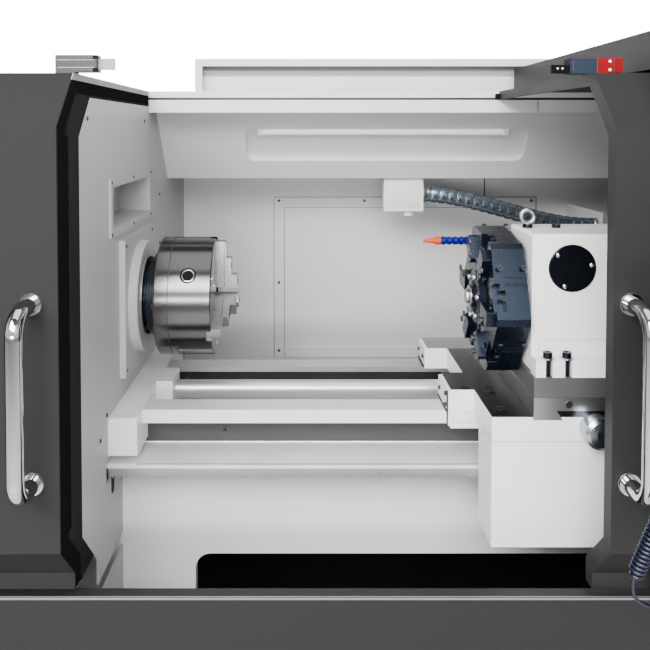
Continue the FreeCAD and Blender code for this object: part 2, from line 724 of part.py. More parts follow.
def bed_outline():
    """Section of the cast bed, in depth and height."""
    web_front, web_back = S.bed_front_wall + 15, S.bed_front_wall - 17
    rear_out, rear_in = S.bed_back_wall, S.bed_back_wall - S.bed_wall
    return [
        (-S.front_way_front, S.way_top),
        (-S.front_way_front, S.way_top - S.way_thickness),
        (-web_front, S.way_top - S.way_thickness - 8),
        (-web_front, S.ledge_top),
        (-S.ledge_front, S.ledge_top),
        (-S.ledge_front, S.ledge_top - 9),
        (-S.ledge_front + S.rack_width, S.ledge_top - 9),
        (-S.ledge_front + S.rack_width, S.ledge_top - 17),
        (-S.bed_front_wall, S.ledge_top - 17),
        (-S.bed_front_wall, S.bed_foot),
        (-S.bed_front_wall + S.bed_wall, S.bed_foot),
        (-S.bed_front_wall + S.bed_wall, S.trough_floor - 26),
        (rear_in, S.trough_floor - 26),
        (rear_in, S.bed_foot),
        (rear_out, S.bed_foot),
        (rear_out, S.way_top - 48),
        (S.rear_way_back, S.way_top - 33),
        (S.rear_way_back, S.way_top),
        (S.rear_way_front, S.way_top),
        (S.rear_way_front, S.way_top - 33),
        (S.rear_way_front - 14, S.way_top - 48),
        (S.rear_way_front - 14, S.trough_floor),
        (-web_back, S.trough_floor),
        (-web_back, S.way_top - 48),
        (-S.front_way_back, S.way_top - S.way_thickness),
        (-S.front_way_back, S.way_top),
    ]


def make_bed():
    """Cast bed with two ways and a ledge, its gear rack and the headstock's foot."""
    casting = prism("bed_casting", "X", bed_outline(), -S.bed_left, S.bed_right)
    window = box(
        "chip_window_block",
        (S.chip_window_left, S.chip_window_right),
        (-S.bed_front_wall - 1, -S.bed_front_wall + S.bed_wall + 1),
        (S.bed_foot - 60, S.chip_window_top),
    )
    window = rounded("chip_window", window, S.window_radius, along("Y"))
    notch = box(
        "foot_notch",
        (S.wall_face - S.sheet - S.sheet_gap, S.wall_face + S.foot_beam),
        (-S.front_way_front - 1, S.rear_way_back + 1),
        (S.foot_beam_low, S.way_top + 1),
    )
    casting = cut("bed_cut", casting, window, notch)

    beam = box(
        "foot_beam_block",
        (S.wall_face, S.wall_face + S.foot_beam),
        (-S.foot_beam_front, S.foot_beam_back),
        (S.foot_beam_low, S.way_top),
    )
    node(fuse("bed", casting, rounded("foot_beam_round", beam, 4, along("X"))), "bed")
    node(make_rack(), "gear_rack")


def make_rack():
    """Straight-toothed rack, its teeth pointing down under the ledge's front edge."""
    pitch = math.pi * S.rack_module.value
    seat = S.ledge_top.value - 9
    root = seat - S.rack_height.value + 2.25 * S.rack_module.value
    tip = seat - S.rack_height.value
    lean = 2.25 * S.rack_module.value * math.tan(math.radians(20))
    land = pitch / 2 - lean
    start = S.wall_face.value + S.sheet_gap.value
    teeth = int(S.rack_teeth.value)
    points = [Vector(start, 0, seat)]
    for tooth in range(teeth):
        left = start + tooth * pitch
        points += [
            Vector(left, 0, root),
            Vector(left + lean, 0, tip),
            Vector(left + lean + land, 0, tip),
            Vector(left + 2 * lean + land, 0, root),
        ]
    end = start + teeth * pitch
    points += [Vector(end, 0, root), Vector(end, 0, seat), points[0]]
    face = Part.Face(Part.makePolygon(points))
    rack = DOC.addObject("Part::Feature", "gear_rack_bar")
    rack.Shape = face.extrude(Vector(0, S.rack_width.value, 0))
    return place(rack, 0, depth(-S.ledge_front), 0)


# ---------------------------------------------------------------- enclosure

def make_left_cover():
    """Fixed cover of the headstock end, with the jamb round the working space."""
    outer = prism("cover_outer", "X", cover_path(), -S.half_length, S.wall_face)
    inner_path = offset(cover_path(), -S.sheet, closed=True)
    inner_path[0] = (inner_path[0][0], S.sill_height - 1)
    inner_path[-1] = (inner_path[-1][0], S.sill_height - 1)
    inner = prism("cover_inner", "X", inner_path, -S.half_length + S.sheet, S.wall_face - S.sheet)
    front = wall_edge()
    opening = [
        (front[0][0], S.sill_height - 1),
        front[1], front[2], front[3], front[4],
        (S.back_face - S.sheet, S.wall_high + 66),
        (S.back_face - S.sheet, S.sill_height - 1),
    ]
    mouth = prism("cover_mouth", "X", opening, S.wall_face - S.sheet - 1, S.wall_face + 1)
    slots = [
        box(f"cover_slot_{i}", (-S.half_length - 1, -S.half_length + S.sheet + 1),
            (S.bar_hole + 35, S.bar_hole + 315),
            (S.sill_height + 120 + 34 * i, S.sill_height + 132 + 34 * i))
        for i in range(12)
    ]
    bar = rod("bar_opening", "X", -S.half_length - 1, -S.half_length + S.sheet + 1,
              (0, S.axis_height), S.bar_hole)
    node(cut("left_cover", outer, inner, mouth, bar, *slots), "left_cover")


def make_headstock_wall():
    """Painted wall between the headstock and the working space, with the bolted niche."""
    front = wall_edge()
    slot_front, slot_low = S.ledge_front + 11, S.ledge_top - 35
    web = S.bed_front_wall + 15
    inside = S.back_face - S.sheet
    outline = [
        front[0], front[1], front[2], front[3], front[4],
        (inside, S.wall_high + 66),
        (inside, S.sill_height),
        (S.bed_back_wall + S.sheet_gap, S.sill_height),
        (S.bed_back_wall + S.sheet_gap, S.foot_beam_low + S.sheet_gap),
        (-web - S.sheet_gap, S.foot_beam_low + S.sheet_gap),
        (-web - S.sheet_gap, S.ledge_top + 1),
        (-slot_front, S.ledge_top + 1),
        (-slot_front, slot_low),
        (-S.bed_front_wall - S.sheet_gap, slot_low),
        (-S.bed_front_wall - S.sheet_gap, front[0][1]),
    ]
    niche = [
        (-S.niche_front + S.niche_border, S.niche_low + S.niche_border),
        (S.niche_back - S.niche_border, S.niche_low + S.niche_border),
        (S.niche_back - S.niche_border, S.niche_high - S.niche_border),
        (-S.niche_front + S.niche_border, S.niche_high - S.niche_border),
    ]
    wall = prism("wall_sheet", "X", outline, S.wall_face - S.sheet, S.wall_face,
                 holes=[niche], circles=[((0, S.axis_height), S.bearing_radius + 10)])

    frame = box("niche_plate", (S.wall_face, S.wall_face + 4), (-S.niche_front, S.niche_back),
                (S.niche_low, S.niche_high))
    inset = S.niche_border
    tub = box("niche_tub", (S.wall_face - S.niche_recess, S.wall_face),
              (-S.niche_front + inset, S.niche_back - inset),
              (S.niche_low + inset, S.niche_high - inset))
    hollow = box("niche_hollow", (S.wall_face - S.niche_recess + 2, S.wall_face + 5),
                 (-S.niche_front + inset + 2, S.niche_back - inset - 2),
                 (S.niche_low + inset + 2, S.niche_high - inset - 2))
    niche = cut("niche_box", fuse("niche_parts", frame, tub), hollow)
    node(fuse("headstock_wall", wall, niche), "headstock_wall")


def make_roof():
    """Roof panel, door rail, box on the roof, back wall and access cover."""
    inside = S.back_face - S.sheet
    path = [
        (S.back_face, S.roof_height),
        (S.rail_depth, S.roof_height),
        (S.rail_depth, S.wall_high + 52),
    ]
    sheet = folded(path, S.sheet)
    panel = prism("roof_sheet", "X", sheet, S.wall_face, S.hood_left)

    rail = [
        (S.rail_depth, S.roof_height), (S.rail_depth + 80, S.roof_height),
        (S.rail_depth + 80, S.roof_height + 3), (S.rail_depth + 6, S.roof_height + 3),
        (S.rail_depth + 6, S.rail_top), (S.rail_depth, S.rail_top),
    ]
    rail = prism("door_rail", "X", rail, -S.half_length + 10, S.half_length - S.sheet)

    path[0] = (S.hood_step - S.sheet - S.sheet_gap, S.roof_height)
    liner = prism("roof_liner", "X", folded(path, S.sheet), S.hood_left + S.sheet,
                  S.half_length - S.sheet - S.sheet_gap)

    shell = box("roof_box_block", (S.roof_box_left, S.roof_box_right),
                (S.roof_box_front, S.roof_box_front + S.roof_box_depth),
                (S.roof_height, S.roof_box_top))
    hollow = box("roof_box_hollow",
                 (S.roof_box_left + S.roof_box_rim, S.roof_box_right - S.roof_box_rim),
                 (S.roof_box_front - 1, S.roof_box_front + 30),
                 (S.roof_height + S.roof_box_rim, S.roof_box_top - S.roof_box_rim))
    node(fuse("roof_panel", panel, liner, rail, cut("roof_box", shell, hollow)), "roof_panel")

    back = prism(
        "back_wall_sheet", "Y",
        [(S.wall_face, S.sill_height), (S.hood_left, S.sill_height),
         (S.hood_left, S.roof_height - S.sheet), (S.wall_face, S.roof_height - S.sheet)],
        inside, S.back_face,
    )
    plate = box("cover_plate", (S.cover_left, S.cover_right), (inside - 8, inside),
                (S.sill_height + 40, S.cover_top))
    dish = box("cover_dish", (S.cover_left + S.cover_border, S.cover_right - S.cover_border),
               (inside - 9, inside - 4),
               (S.sill_height + 40 + S.cover_border, S.cover_top - 24))
    node(fuse("back_wall", back, cut("access_cover", plate, dish)), "back_wall")


def make_lamp_beam():
    """Folded beam under the roof with a rounded recess for the lamp tube."""
    right = S.half_length - S.sheet - S.sheet_gap
    under_roof = S.roof_height - S.sheet
    outline = [
        (S.beam_top_depth, under_roof),
        (S.beam_top_depth, S.beam_top),
        (S.beam_fold_depth, S.beam_fold),
        (S.beam_low_depth, S.beam_low),
        (S.beam_back_depth, S.beam_low),
        (S.beam_back_depth, under_roof),
    ]
    block = prism("beam_block", "X", outline, S.wall_face, right)
    hollow = prism("beam_hollow", "X", offset(outline, S.sheet + S.lamp_recess, closed=True),
                   S.wall_face + 20, right - 20)
    run = S.beam_low_depth - S.beam_fold_depth
    fall = S.beam_fold - S.beam_low
    slope = math.degrees(math.atan2(float(run), float(fall)))
    tool = DOC.addObject("Part::Box", "lamp_recess_block")
    bind(tool, "Length", S.lamp_right - S.lamp_left)
    bind(tool, "Width", 2 * S.lamp_recess)
    bind(tool, "Height", S.lamp_drop)
    middle = S.lamp_recess
    turn = Rotation(Vector(1, 0, 0), slope)
    reach = turn.multVec(Vector(0, -float(middle), -float(S.lamp_drop) - 4))
    tool = rounded("lamp_recess_round", tool, 22, along("Y"))
    place(tool, S.lamp_left, depth(S.beam_fold_depth + reach.y), S.beam_fold + reach.z, turn)
    node(cut("lamp_beam", block, hollow, tool), "lamp_beam")

    seat = turn.multVec(Vector(0, float(S.lamp_recess) - float(S.lamp_radius) - 0.3, -16))
    y, z = S.beam_fold_depth + seat.y, S.beam_fold + seat.z
    tube = rod("lamp_glass", "X", S.lamp_tube_left, S.lamp_tube_right, (y, z), S.lamp_radius)
    clips = []
    for i, x in enumerate((S.lamp_tube_left - 14, S.lamp_tube_right)):
        clips.append(rod(f"lamp_end_{i}", "X", x, x + 14, (y, z), S.lamp_radius + 0.3))
    node(fuse("lamp_tube", tube, *clips), "lamp_tube")


def make_hood():
    """Fixed hood at the right, into which the right door slides."""
    outer = prism("hood_outer", "X", hood_path(), S.hood_left, S.half_length)
    inner_path = offset(hood_path(), -S.sheet, closed=True)
    inner_path[0] = (-S.front_face + S.sheet, S.sill_height - 1)
    inner_path[-1] = (inner_path[-1][0], S.sill_height - 1)
    inner = prism("hood_inner", "X", inner_path, S.hood_left + S.sheet, S.half_length - S.sheet)
    passage = door_path(S.hood_gap)
    mouth_path = [
        (passage[0][0], S.sill_height - 1), passage[1], passage[2], passage[3], passage[4],
        (S.rail_depth + 81, S.rail_top + S.hood_gap),
        (S.rail_depth + 81, S.roof_height - S.sheet),
        (S.back_face - S.sheet, S.roof_height - S.sheet),
        (S.back_face - S.sheet, S.sill_height - 1),
    ]
    mouth = prism("hood_mouth", "X", mouth_path, S.hood_left - 1, S.hood_left + S.sheet + 1)
    sheet = cut("hood_sheet", outer, inner, mouth)
    gland = [(-S.hood_front - S.gland_reach, 0), (-S.hood_front - S.gland_reach, 6),
             (-S.hood_front - S.gland_reach + 6, 8), (-S.hood_front, 9), (-S.hood_front, 0)]
    gland = turned("cord_gland", "Y", gland, (S.gland_place, S.gland_height))
    bracket = box("conduit_bracket", (S.conduit_end, S.conduit_end + 6),
                  (S.cable_box_front - 4, S.back_face - S.sheet),
                  (S.conduit_end_height - 40, S.conduit_end_height + 40))
    node(fuse("right_hood", sheet, gland, bracket), "right_hood")


def make_door(side, leading, trailing, inset):
    """A sliding door: folded sheet with a leading flange, a window, a handle and its rail pads."""
    left = side == "left"
    low, high = (trailing, leading) if left else (leading, trailing)
    path = door_path()
    skin = prism(f"{side}_door_sheet", "X", folded(path, -S.sheet), low, high)
    flange_low, flange_high = (high - S.sheet, high) if left else (low, low + S.sheet)
    flange = prism(f"{side}_door_edge", "X", door_flange_outline(), flange_low, flange_high)
    back_low, back_high = (low, low + S.sheet) if left else (high - S.sheet, high)
    back = prism(f"{side}_door_back", "X", door_flange_outline(), back_low, back_high)
    far = trailing + 70 if left else trailing - 70
    near = far + S.window_width if left else far - S.window_width
    pane_x = (far, near) if left else (near, far)
    gap = box(f"{side}_window_gap", pane_x, (-S.door_front - 1, -S.door_front + S.sheet + 1),
              (S.window_low, S.window_high))
    gap = rounded(f"{side}_window_hole", gap, 30, along("Y"))
    sheet = fuse(f"{side}_door_parts", skin, flange, back)
    node(cut(f"{side}_door_panel", sheet, gap), f"{side}_door_panel")

    edge = 14
    pane = box(f"{side}_pane", (pane_x[0] - edge, pane_x[1] + edge),
               (-S.door_front + S.sheet, -S.door_front + S.sheet + 6),
               (S.window_low - edge, S.window_high + edge))
    node(pane, f"{side}_door_window")

    x = leading - inset if left else leading + inset
    node(make_handle(side, x), f"{side}_handle")


def make_handle(side, x):
    """Bent tube handle with its two base flanges."""
    out, back = S.handle_reach, -S.door_front
    bend = S.handle_bend
    pieces = []
    for i, (seat, way) in enumerate(((S.handle_low, 1), (S.handle_high, -1))):
        pieces.append(rod(f"{side}_handle_flange_{i}", "Y", back - 6, back, (x, seat),
                          S.handle_radius + 4))
        pieces.append(rod(f"{side}_handle_leg_{i}", "Y", back - out + bend, back - 6, (x, seat),
                          S.handle_radius))
        corner = DOC.addObject("Part::Torus", f"{side}_handle_bend_{i}")
        bind(corner, "Radius1", bend)
        bind(corner, "Radius2", S.handle_radius)
        corner.Angle3 = 90
        # the quarter ring lies in its own XY plane; it is stood up in the plane of depth and height
        turn = Rotation(Vector(0, 1, 0), -90)
        turn = Rotation(Vector(1, 0, 0), 180 if way == 1 else 90) * turn
        place(corner, x, depth(back - out + bend), seat + way * bend, turn)
        pieces.append(corner)
    pieces.append(rod(f"{side}_handle_grip", "Z", S.handle_low + bend, S.handle_high - bend,
                      (x, back - out), S.handle_radius))
    return fuse(f"{side}_handle", *pieces)


def make_doors():
    """Both doors with what rides on them."""
    left_edge = S.wall_face
    make_door("left", left_edge, left_edge - S.door_width, S.handle_inset_left)
    right_edge = S.right_door_edge
    make_door("right", right_edge, right_edge + S.door_width, S.handle_inset_right)

    seal = box("seal_strip", (left_edge - 10, left_edge),
               (-S.door_front + S.door_flange, -S.door_front + S.door_flange + S.seal_depth),
               (S.door_low + 14, S.door_high - 14))
    bead = rod("seal_bead", "Z", S.door_low + 14, S.door_high - 14,
               (left_edge - 5, -S.door_front + S.door_flange + S.seal_depth - 5), 5)
    node(fuse("left_door_seal", seal, bead), "left_door_seal")

    top = S.rail_top
    slope_top = S.rail_top - S.door_high - S.door_front
    key_y = (slope_top + 4, slope_top + 32)
    clear = 2
    seat = box("key_seat", (left_edge - 31, left_edge - 1), key_y, (top, top + clear))
    base = box("key_body", (left_edge - 31, left_edge + 35), key_y, (top + clear, top + 29))
    tongue = box("key_tongue", (left_edge + 35, left_edge + 61),
                 (slope_top + 15, slope_top + 21), (top + 6, top + 24))
    node(fuse("interlock_key", seat, base, tongue), "interlock_key")

    switch_y = (slope_top + 42, slope_top + 72)
    low = top + clear
    seat = box("switch_seat", (right_edge + 1, right_edge + 40), switch_y, (top, low + 5))
    head = box("switch_head_block", (right_edge + 20, right_edge + 62), switch_y, (low, top + 28))
    head = rounded("interlock_head", head, 3, along("X"))
    body = box("switch_body_block", (right_edge - 24, right_edge + 20), switch_y, (low, top + 27))
    plate = box("switch_plate", (right_edge - 55, right_edge - 24),
                (slope_top + 42, slope_top + 46), (low, top + 16))
    node(fuse("interlock_switch", seat, head, body, plate), "interlock_switch")


# ---------------------------------------------------------------- spindle and chuck

def radial(thing, along_x, angle, radius=0.0):
    """Stand a piece that was built along its own Z on a radius of the spindle."""
    turn = Rotation(Vector(1, 0, 0), 90 - angle)
    reach = turn.multVec(Vector(0, 0, float(radius)))
    return place(thing, along_x, depth(reach.y), S.axis_height + reach.z, turn)


def make_spindle_wall():
    """Spindle plate, ring and the headstock casting with its bearings."""
    half, high = S.plate_depth / 2, S.plate_height / 2
    axis = (0, S.axis_height)
    square = [(-half, S.axis_height - high), (half, S.axis_height - high),
              (half, S.axis_height + high), (-half, S.axis_height + high)]
    plate_end = S.wall_face + S.plate_thickness
    plate = prism("spindle_plate", "X", square, S.wall_face, plate_end,
                  circles=[(axis, S.bearing_radius + 10)])
    ring = [(plate_end, S.adapter_radius + 4), (plate_end, S.ring_radius),
            (plate_end + S.ring_reach - 3, S.ring_radius),
            (plate_end + S.ring_reach, S.ring_radius - 3),
            (plate_end + S.ring_reach, S.adapter_radius + 4)]
    node(fuse("spindle_ring", plate, turned("ring_turning", "X", ring, axis)), "spindle_ring")

    right = S.wall_face - S.sheet
    block = box("headstock_block", (S.headstock_left, right),
                (-S.headstock_half, S.headstock_half), (S.way_top, S.headstock_top))
    nose = rod("headstock_nose", "X", right, plate_end, axis, S.bearing_radius + 9)
    bore = rod("headstock_bore", "X", S.headstock_left - 1, plate_end + 1, axis,
               S.spindle_radius + 12)
    seats = []
    for i, x in enumerate((right - S.bearing_width - 20, S.headstock_left + 12)):
        seats.append(rod(f"bearing_seat_{i}", "X", x, x + S.bearing_width, axis, S.bearing_radius))
    mouth = rod("bearing_mouth", "X", right - 21, plate_end + 1, axis, S.spindle_radius + 20)
    casting = fuse("headstock_parts", rounded("headstock_body", block, 18, along("X")), nose)
    node(cut("headstock", casting, bore, mouth, *seats), "headstock")

    rings = []
    for i, x in enumerate((right - S.bearing_width - 20, S.headstock_left + 12)):
        race = [(x, S.spindle_radius + S.fit_gap), (x, S.bearing_radius),
                (x + S.bearing_width, S.bearing_radius),
                (x + S.bearing_width, S.spindle_radius + S.fit_gap)]
        rings.append(turned(f"bearing_{i}", "X", race, axis))
    node(group("spindle_bearings", *rings), "spindle_bearings")


def make_spindle():
    """Spindle with its pulley, nose adapter and three-jaw chuck."""
    axis = (0, S.axis_height)
    ring_end = S.wall_face + S.plate_thickness + S.ring_reach
    chuck_start = ring_end + S.adapter_length
    tail = S.headstock_left - S.pulley_width - 30
    shaft = [(tail, S.spindle_bore), (tail, S.spindle_radius - 8),
             (S.headstock_left - 4, S.spindle_radius - 8), (S.headstock_left - 4, S.spindle_radius),
             (ring_end - 24, S.spindle_radius), (ring_end - 24, S.spindle_radius + 14),
             (ring_end, S.spindle_radius + 14), (ring_end, S.spindle_bore)]
    shaft = turned("spindle_turning", "X", shaft, axis)
    pulley = [(tail + 10, S.spindle_radius - 8), (tail + 10, S.pulley_radius + 6),
              (tail + 16, S.pulley_radius + 6), (tail + 16, S.pulley_radius),
              (tail + 4 + S.pulley_width, S.pulley_radius),
              (tail + 4 + S.pulley_width, S.pulley_radius + 6),
              (tail + 10 + S.pulley_width, S.pulley_radius + 6),
              (tail + 10 + S.pulley_width, S.spindle_radius - 8)]
    node(fuse("spindle_shaft", shaft, turned("spindle_pulley", "X", pulley, axis)), "spindle_shaft")
    adapter = [(ring_end, S.spindle_bore), (ring_end, S.adapter_radius - 8),
               (ring_end + 10, S.adapter_radius - 8), (ring_end + 10, S.adapter_radius),
               (chuck_start - 6, S.adapter_radius), (chuck_start - 6, S.adapter_radius + 6),
               (chuck_start, S.adapter_radius + 6), (chuck_start, S.spindle_bore)]
    adapter = turned("nose_adapter", "X", adapter, axis)

    body_start = chuck_start + S.backplate_length
    face = body_start + S.chuck_length
    plate = [(chuck_start, S.chuck_bore), (chuck_start, S.chuck_radius - 3),
             (chuck_start + 3, S.chuck_radius), (body_start - 1.5, S.chuck_radius),
             (body_start - 1.5, S.chuck_radius - 2), (body_start, S.chuck_radius - 2),
             (body_start, S.chuck_bore)]
    node(fuse("chuck_adapter", adapter, turned("chuck_backplate", "X", plate, axis)),
         "chuck_adapter")

    scroll_back, scroll_front = face - S.jaw_slot_depth - 22, face - S.jaw_slot_depth - 5
    pinion_x = scroll_back - 13
    hub, rim = S.chuck_bore + 9, S.chuck_radius - 30
    drum = [(body_start, hub - 2), (body_start, S.chuck_bore), (face, S.chuck_bore),
            (face, S.chuck_radius - 2), (face - 2, S.chuck_radius), (body_start, S.chuck_radius),
            (body_start, rim), (scroll_front + 0.3, rim), (scroll_front + 0.3, hub - 2)]
    drum_body = turned("chuck_drum", "X", drum, axis)
    tools = []
    for i in range(3):
        slot = box(f"jaw_slot_{i}", (0, 1), (0, 1), (0, 1))
        bind(slot, "Length", S.jaw_slot_depth + 1)
        bind(slot, "Width", S.jaw_width + 2 * S.jaw_play)
        bind(slot, "Height", S.chuck_radius + 5)
        turn = Rotation(Vector(1, 0, 0), 120 * i)
        shift = turn.multVec(Vector(0, -float(S.jaw_width) / 2 - float(S.jaw_play), 0))
        place(slot, face - S.jaw_slot_depth, depth(shift.y), S.axis_height + shift.z, turn)
        tools.append(slot)
        hole = DOC.addObject("Part::Cylinder", f"pinion_hole_{i}")
        bind(hole, "Radius", S.pinion_radius + S.fit_gap)
        bind(hole, "Height", S.chuck_radius - rim + 10)
        radial(hole, pinion_x, 30 + 120 * i, float(rim) - 2)
        tools.append(hole)
    node(cut("chuck_body", drum_body, *tools), "chuck_body")

    scroll = [(scroll_back, hub), (scroll_back, rim - 0.3), (scroll_front, rim - 0.3),
              (scroll_front, hub)]
    node(turned("scroll_turning", "X", scroll, axis), "scroll_plate")
    for i in range(3):
        make_pinion(i, pinion_x, rim)
        make_jaw(i, face)


def make_pinion(i, pinion_x, rim):
    """Key pinion in the rim of the chuck, with its square socket."""
    head = DOC.addObject("Part::Cylinder", f"pinion_head_{i}")
    bind(head, "Radius", S.pinion_radius)
    bind(head, "Height", S.chuck_radius - rim - 2)
    nose = DOC.addObject("Part::Cone", f"pinion_nose_{i}")
    bind(nose, "Radius1", Size.of(7))
    bind(nose, "Radius2", Size.of(11))
    bind(nose, "Height", Size.of(30))
    nose.Placement.Base.z = -30
    socket = DOC.addObject("Part::Box", f"pinion_socket_{i}")
    for field in ("Length", "Width"):
        bind(socket, field, 2 * S.pinion_socket)
    bind(socket, "Height", Size.of(30))
    bind(socket, "Placement.Base.x", -S.pinion_socket)
    bind(socket, "Placement.Base.y", -S.pinion_socket)
    bind(socket, "Placement.Base.z", S.chuck_radius - rim - 22)
    pinion = cut(f"pinion_{i + 1}", fuse(f"pinion_parts_{i}", head, nose), socket)
    node(radial(pinion, pinion_x, 30 + 120 * i, float(rim) + 0.2), f"pinion_{i + 1}")


def make_jaw(i, face):
    """Stepped jaw; its steps climb towards the spindle axis."""
    foot = -S.jaw_slot_depth + S.jaw_play
    outline = [
        (foot, S.jaw_inner), (45, S.jaw_inner), (45, 46), (32, 46), (32, 82), (21, 82),
        (21, S.jaw_outer - 4), (17, S.jaw_outer), (foot, S.jaw_outer),
    ]
    body = DOC.addObject("PartDesign::Body", f"jaw_{i + 1}_steel")
    sketch = body.newObject("Sketcher::SketchObject", f"jaw_{i + 1}_outline")
    sketch.AttachmentSupport = [(body_plane(body, "XZ_Plane"), "")]
    sketch.MapMode = "FlatFace"
    draw_polygon(sketch, outline)
    pad = body.newObject("PartDesign::Pad", f"jaw_{i + 1}_pad")
    pad.Profile = sketch
    pad.Midplane = True
    bind(pad, "Length", S.jaw_width)
    turn = Rotation(Vector(1, 0, 0), 120 * i)
    node(place(body, face, S.axis_depth, S.axis_height, turn), f"jaw_{i + 1}")


def make_drive():
    """Spindle motor in the base, its pulley and the belt."""
    axis = (S.motor_depth, S.motor_height)
    tail = S.headstock_left - S.pulley_width - 30
    start = tail + 10
    end = start + S.pulley_width
    body = rod("motor_can", "X", end + 20, end + 330, axis, S.motor_radius)
    foot = box("motor_foot", (end + 60, end + 280), (S.motor_depth - 120, S.motor_depth + 120),
               (S.foot_height + 8, S.motor_height - 80))
    box_top = box("motor_box", (end + 90, end + 230), (S.motor_depth - 60, S.motor_depth + 60),
                  (S.motor_height + 90, S.motor_height + 150))
    hole = rod("motor_hole", "X", end + 10, end + 200, axis, 20 + S.fit_gap)
    node(cut("spindle_motor", fuse("motor_parts", body, foot, box_top), hole), "spindle_motor")
    r = S.motor_pulley_radius
    outline = [(start, 0), (start, r + 6), (start + 6, r + 6), (start + 6, r),
               (end - 6, r), (end - 6, r + 6), (end, r + 6), (end, 20), (end + 180, 20),
               (end + 180, 0)]
    node(turned("motor_pulley_turning", "X", outline, axis), "motor_pulley")

    top, low = S.pulley_radius + S.sheet_gap, r + S.sheet_gap
    span = math.hypot(float(S.axis_height - S.motor_height), float(S.motor_depth))
    lean = math.atan2(float(S.motor_depth), float(S.axis_height - S.motor_height))
    wrap = math.asin((float(top) - float(low)) / span)
    width = float(S.pulley_width) - 14

    def loop(extra):
        """Outer line of the belt as two arcs and two straight runs."""
        big, small = float(top) + extra, float(low) + extra
        lower = Vector(0, 0, 0)
        upper = Vector(0, -span * math.sin(lean), span * math.cos(lean))

        def spot(middle, radius, angle):
            around = angle + lean
            return middle + Vector(0, -math.sin(around) * radius, math.cos(around) * radius)

        tangent = math.pi / 2 + wrap
        corners = [spot(upper, big, tangent), spot(upper, big, 0), spot(upper, big, -tangent),
                   spot(lower, small, -tangent), spot(lower, small, math.pi),
                   spot(lower, small, tangent)]
        return Part.Wire([
            Part.Arc(corners[0], corners[1], corners[2]).toShape(),
            Part.LineSegment(corners[2], corners[3]).toShape(),
            Part.Arc(corners[3], corners[4], corners[5]).toShape(),
            Part.LineSegment(corners[5], corners[0]).toShape(),
        ])

    run = Vector(width, 0, 0)
    outer = Part.Face(loop(float(S.belt_thickness))).extrude(run)
    belt = DOC.addObject("Part::Feature", "belt_loop")
    belt.Shape = outer.cut(Part.Face(loop(0.0)).extrude(run))
    place(belt, start + 7, depth(S.motor_depth), S.motor_height)
    node(belt, "drive_belt")


# ---------------------------------------------------------------- carriage and turret

def make_carriage():
    """Carriage on the ways, with its apron and the cross slide's dovetail."""
    way = S.way_top + S.slide_gap
    front = S.front_way_front + S.slide_gap
    rear = S.rear_way_back + S.slide_gap
    wing_front = [(-front - 20, S.wing_low), (-front - 20, S.carriage_top - 3),
                  (-front - 17, S.carriage_top), (-110, S.carriage_top), (-110, way),
                  (-front, way), (-front, S.wing_low)]
    wing_rear = [(63, way), (63, S.carriage_top), (rear + 22, S.carriage_top),
                 (rear + 22, S.wing_low - 5), (rear, S.wing_low - 5), (rear, way)]
    left, right = S.wing_left, S.wing_right
    parts = [
        prism("wing_front", "X", wing_front, left, right),
        prism("wing_rear", "X", wing_rear, left, right),
        box("saddle_front", (S.carriage_left, S.carriage_right), (-S.carriage_front, -front - 10),
            (S.carriage_joint, S.carriage_top)),
        box("saddle_middle", (S.carriage_left, S.carriage_right), (-S.front_way_back, 64),
            (S.carriage_joint, S.carriage_top)),
    ]
    middle = (S.slide_left + S.slide_right) / 2
    tail = [(middle - S.dovetail_half + S.dovetail_undercut, S.slide_low - S.slide_gap),
            (middle + S.dovetail_half - S.dovetail_undercut, S.slide_low - S.slide_gap),
            (middle + S.dovetail_half, S.dovetail_top), (middle - S.dovetail_half, S.dovetail_top)]
    channel = prism(
        "saddle_channel", "Y",
        [(S.slide_left - 1, S.slide_low - S.slide_gap), (S.slide_right + 1, S.slide_low - S.slide_gap),
         (S.slide_right + 1, S.carriage_top + 1), (S.slide_left - 1, S.carriage_top + 1)],
        -S.carriage_front - 1, S.rear_way_back + 40,
    )
    saddle = cut("saddle_body", fuse("saddle_parts", *parts), channel)
    rail = prism("saddle_dovetail", "Y", tail, -S.carriage_front, S.rear_way_back)
    saddle = fuse("saddle_casting", saddle, rail)

    apron = box("apron_block", (S.carriage_left, S.carriage_right),
                (-S.carriage_front, -S.ledge_front - 5), (S.apron_low, S.carriage_joint))
    node(rounded("carriage_apron", apron, 5, along("Z")), "carriage_apron")

    wipers = []
    for i, (y, z) in enumerate((((-front - 18, -110), (S.wing_low + 4, S.carriage_top - 4)),
                                ((63, rear + 20), (S.wing_low, S.carriage_top - 4)))):
        blade = box(f"wiper_block_{i}", (left - 6, left), y, z)
        if i == 0:
            over = box("wiper_over_0", (left - 7, left + 1), (-front + 0.1, -109), (S.wing_low, way))
        else:
            over = box("wiper_over_1", (left - 7, left + 1), (62, rear - 0.1), (S.wing_low - 1, way))
        wipers.append(cut(f"wiper_{i}", blade, over))

    cap = [(-S.carriage_front - S.cap_reach, 0), (-S.carriage_front - S.cap_reach, 10),
           (-S.carriage_front - S.cap_reach + 3, S.cap_radius - 6),
           (-S.carriage_front - S.cap_reach + 8, S.cap_radius),
           (-S.carriage_front, S.cap_radius),
           (-S.carriage_front, 0)]
    cap = turned("screw_cap_turning", "Y", cap, (middle, S.cap_height))
    node(cap, "cross_screw_cap")

    nut = box("nut_block", (S.carriage_left + 60, S.carriage_left + 150), (-40, 40),
              (S.screw_height - 40, S.carriage_joint))
    bore = rod("nut_bore", "X", S.carriage_left + 50, S.carriage_left + 160, (0, S.screw_height),
               S.screw_radius + S.fit_gap)
    nut = cut("screw_nut", nut, bore)

    node(fuse("saddle", saddle, nut, *wipers), "saddle")


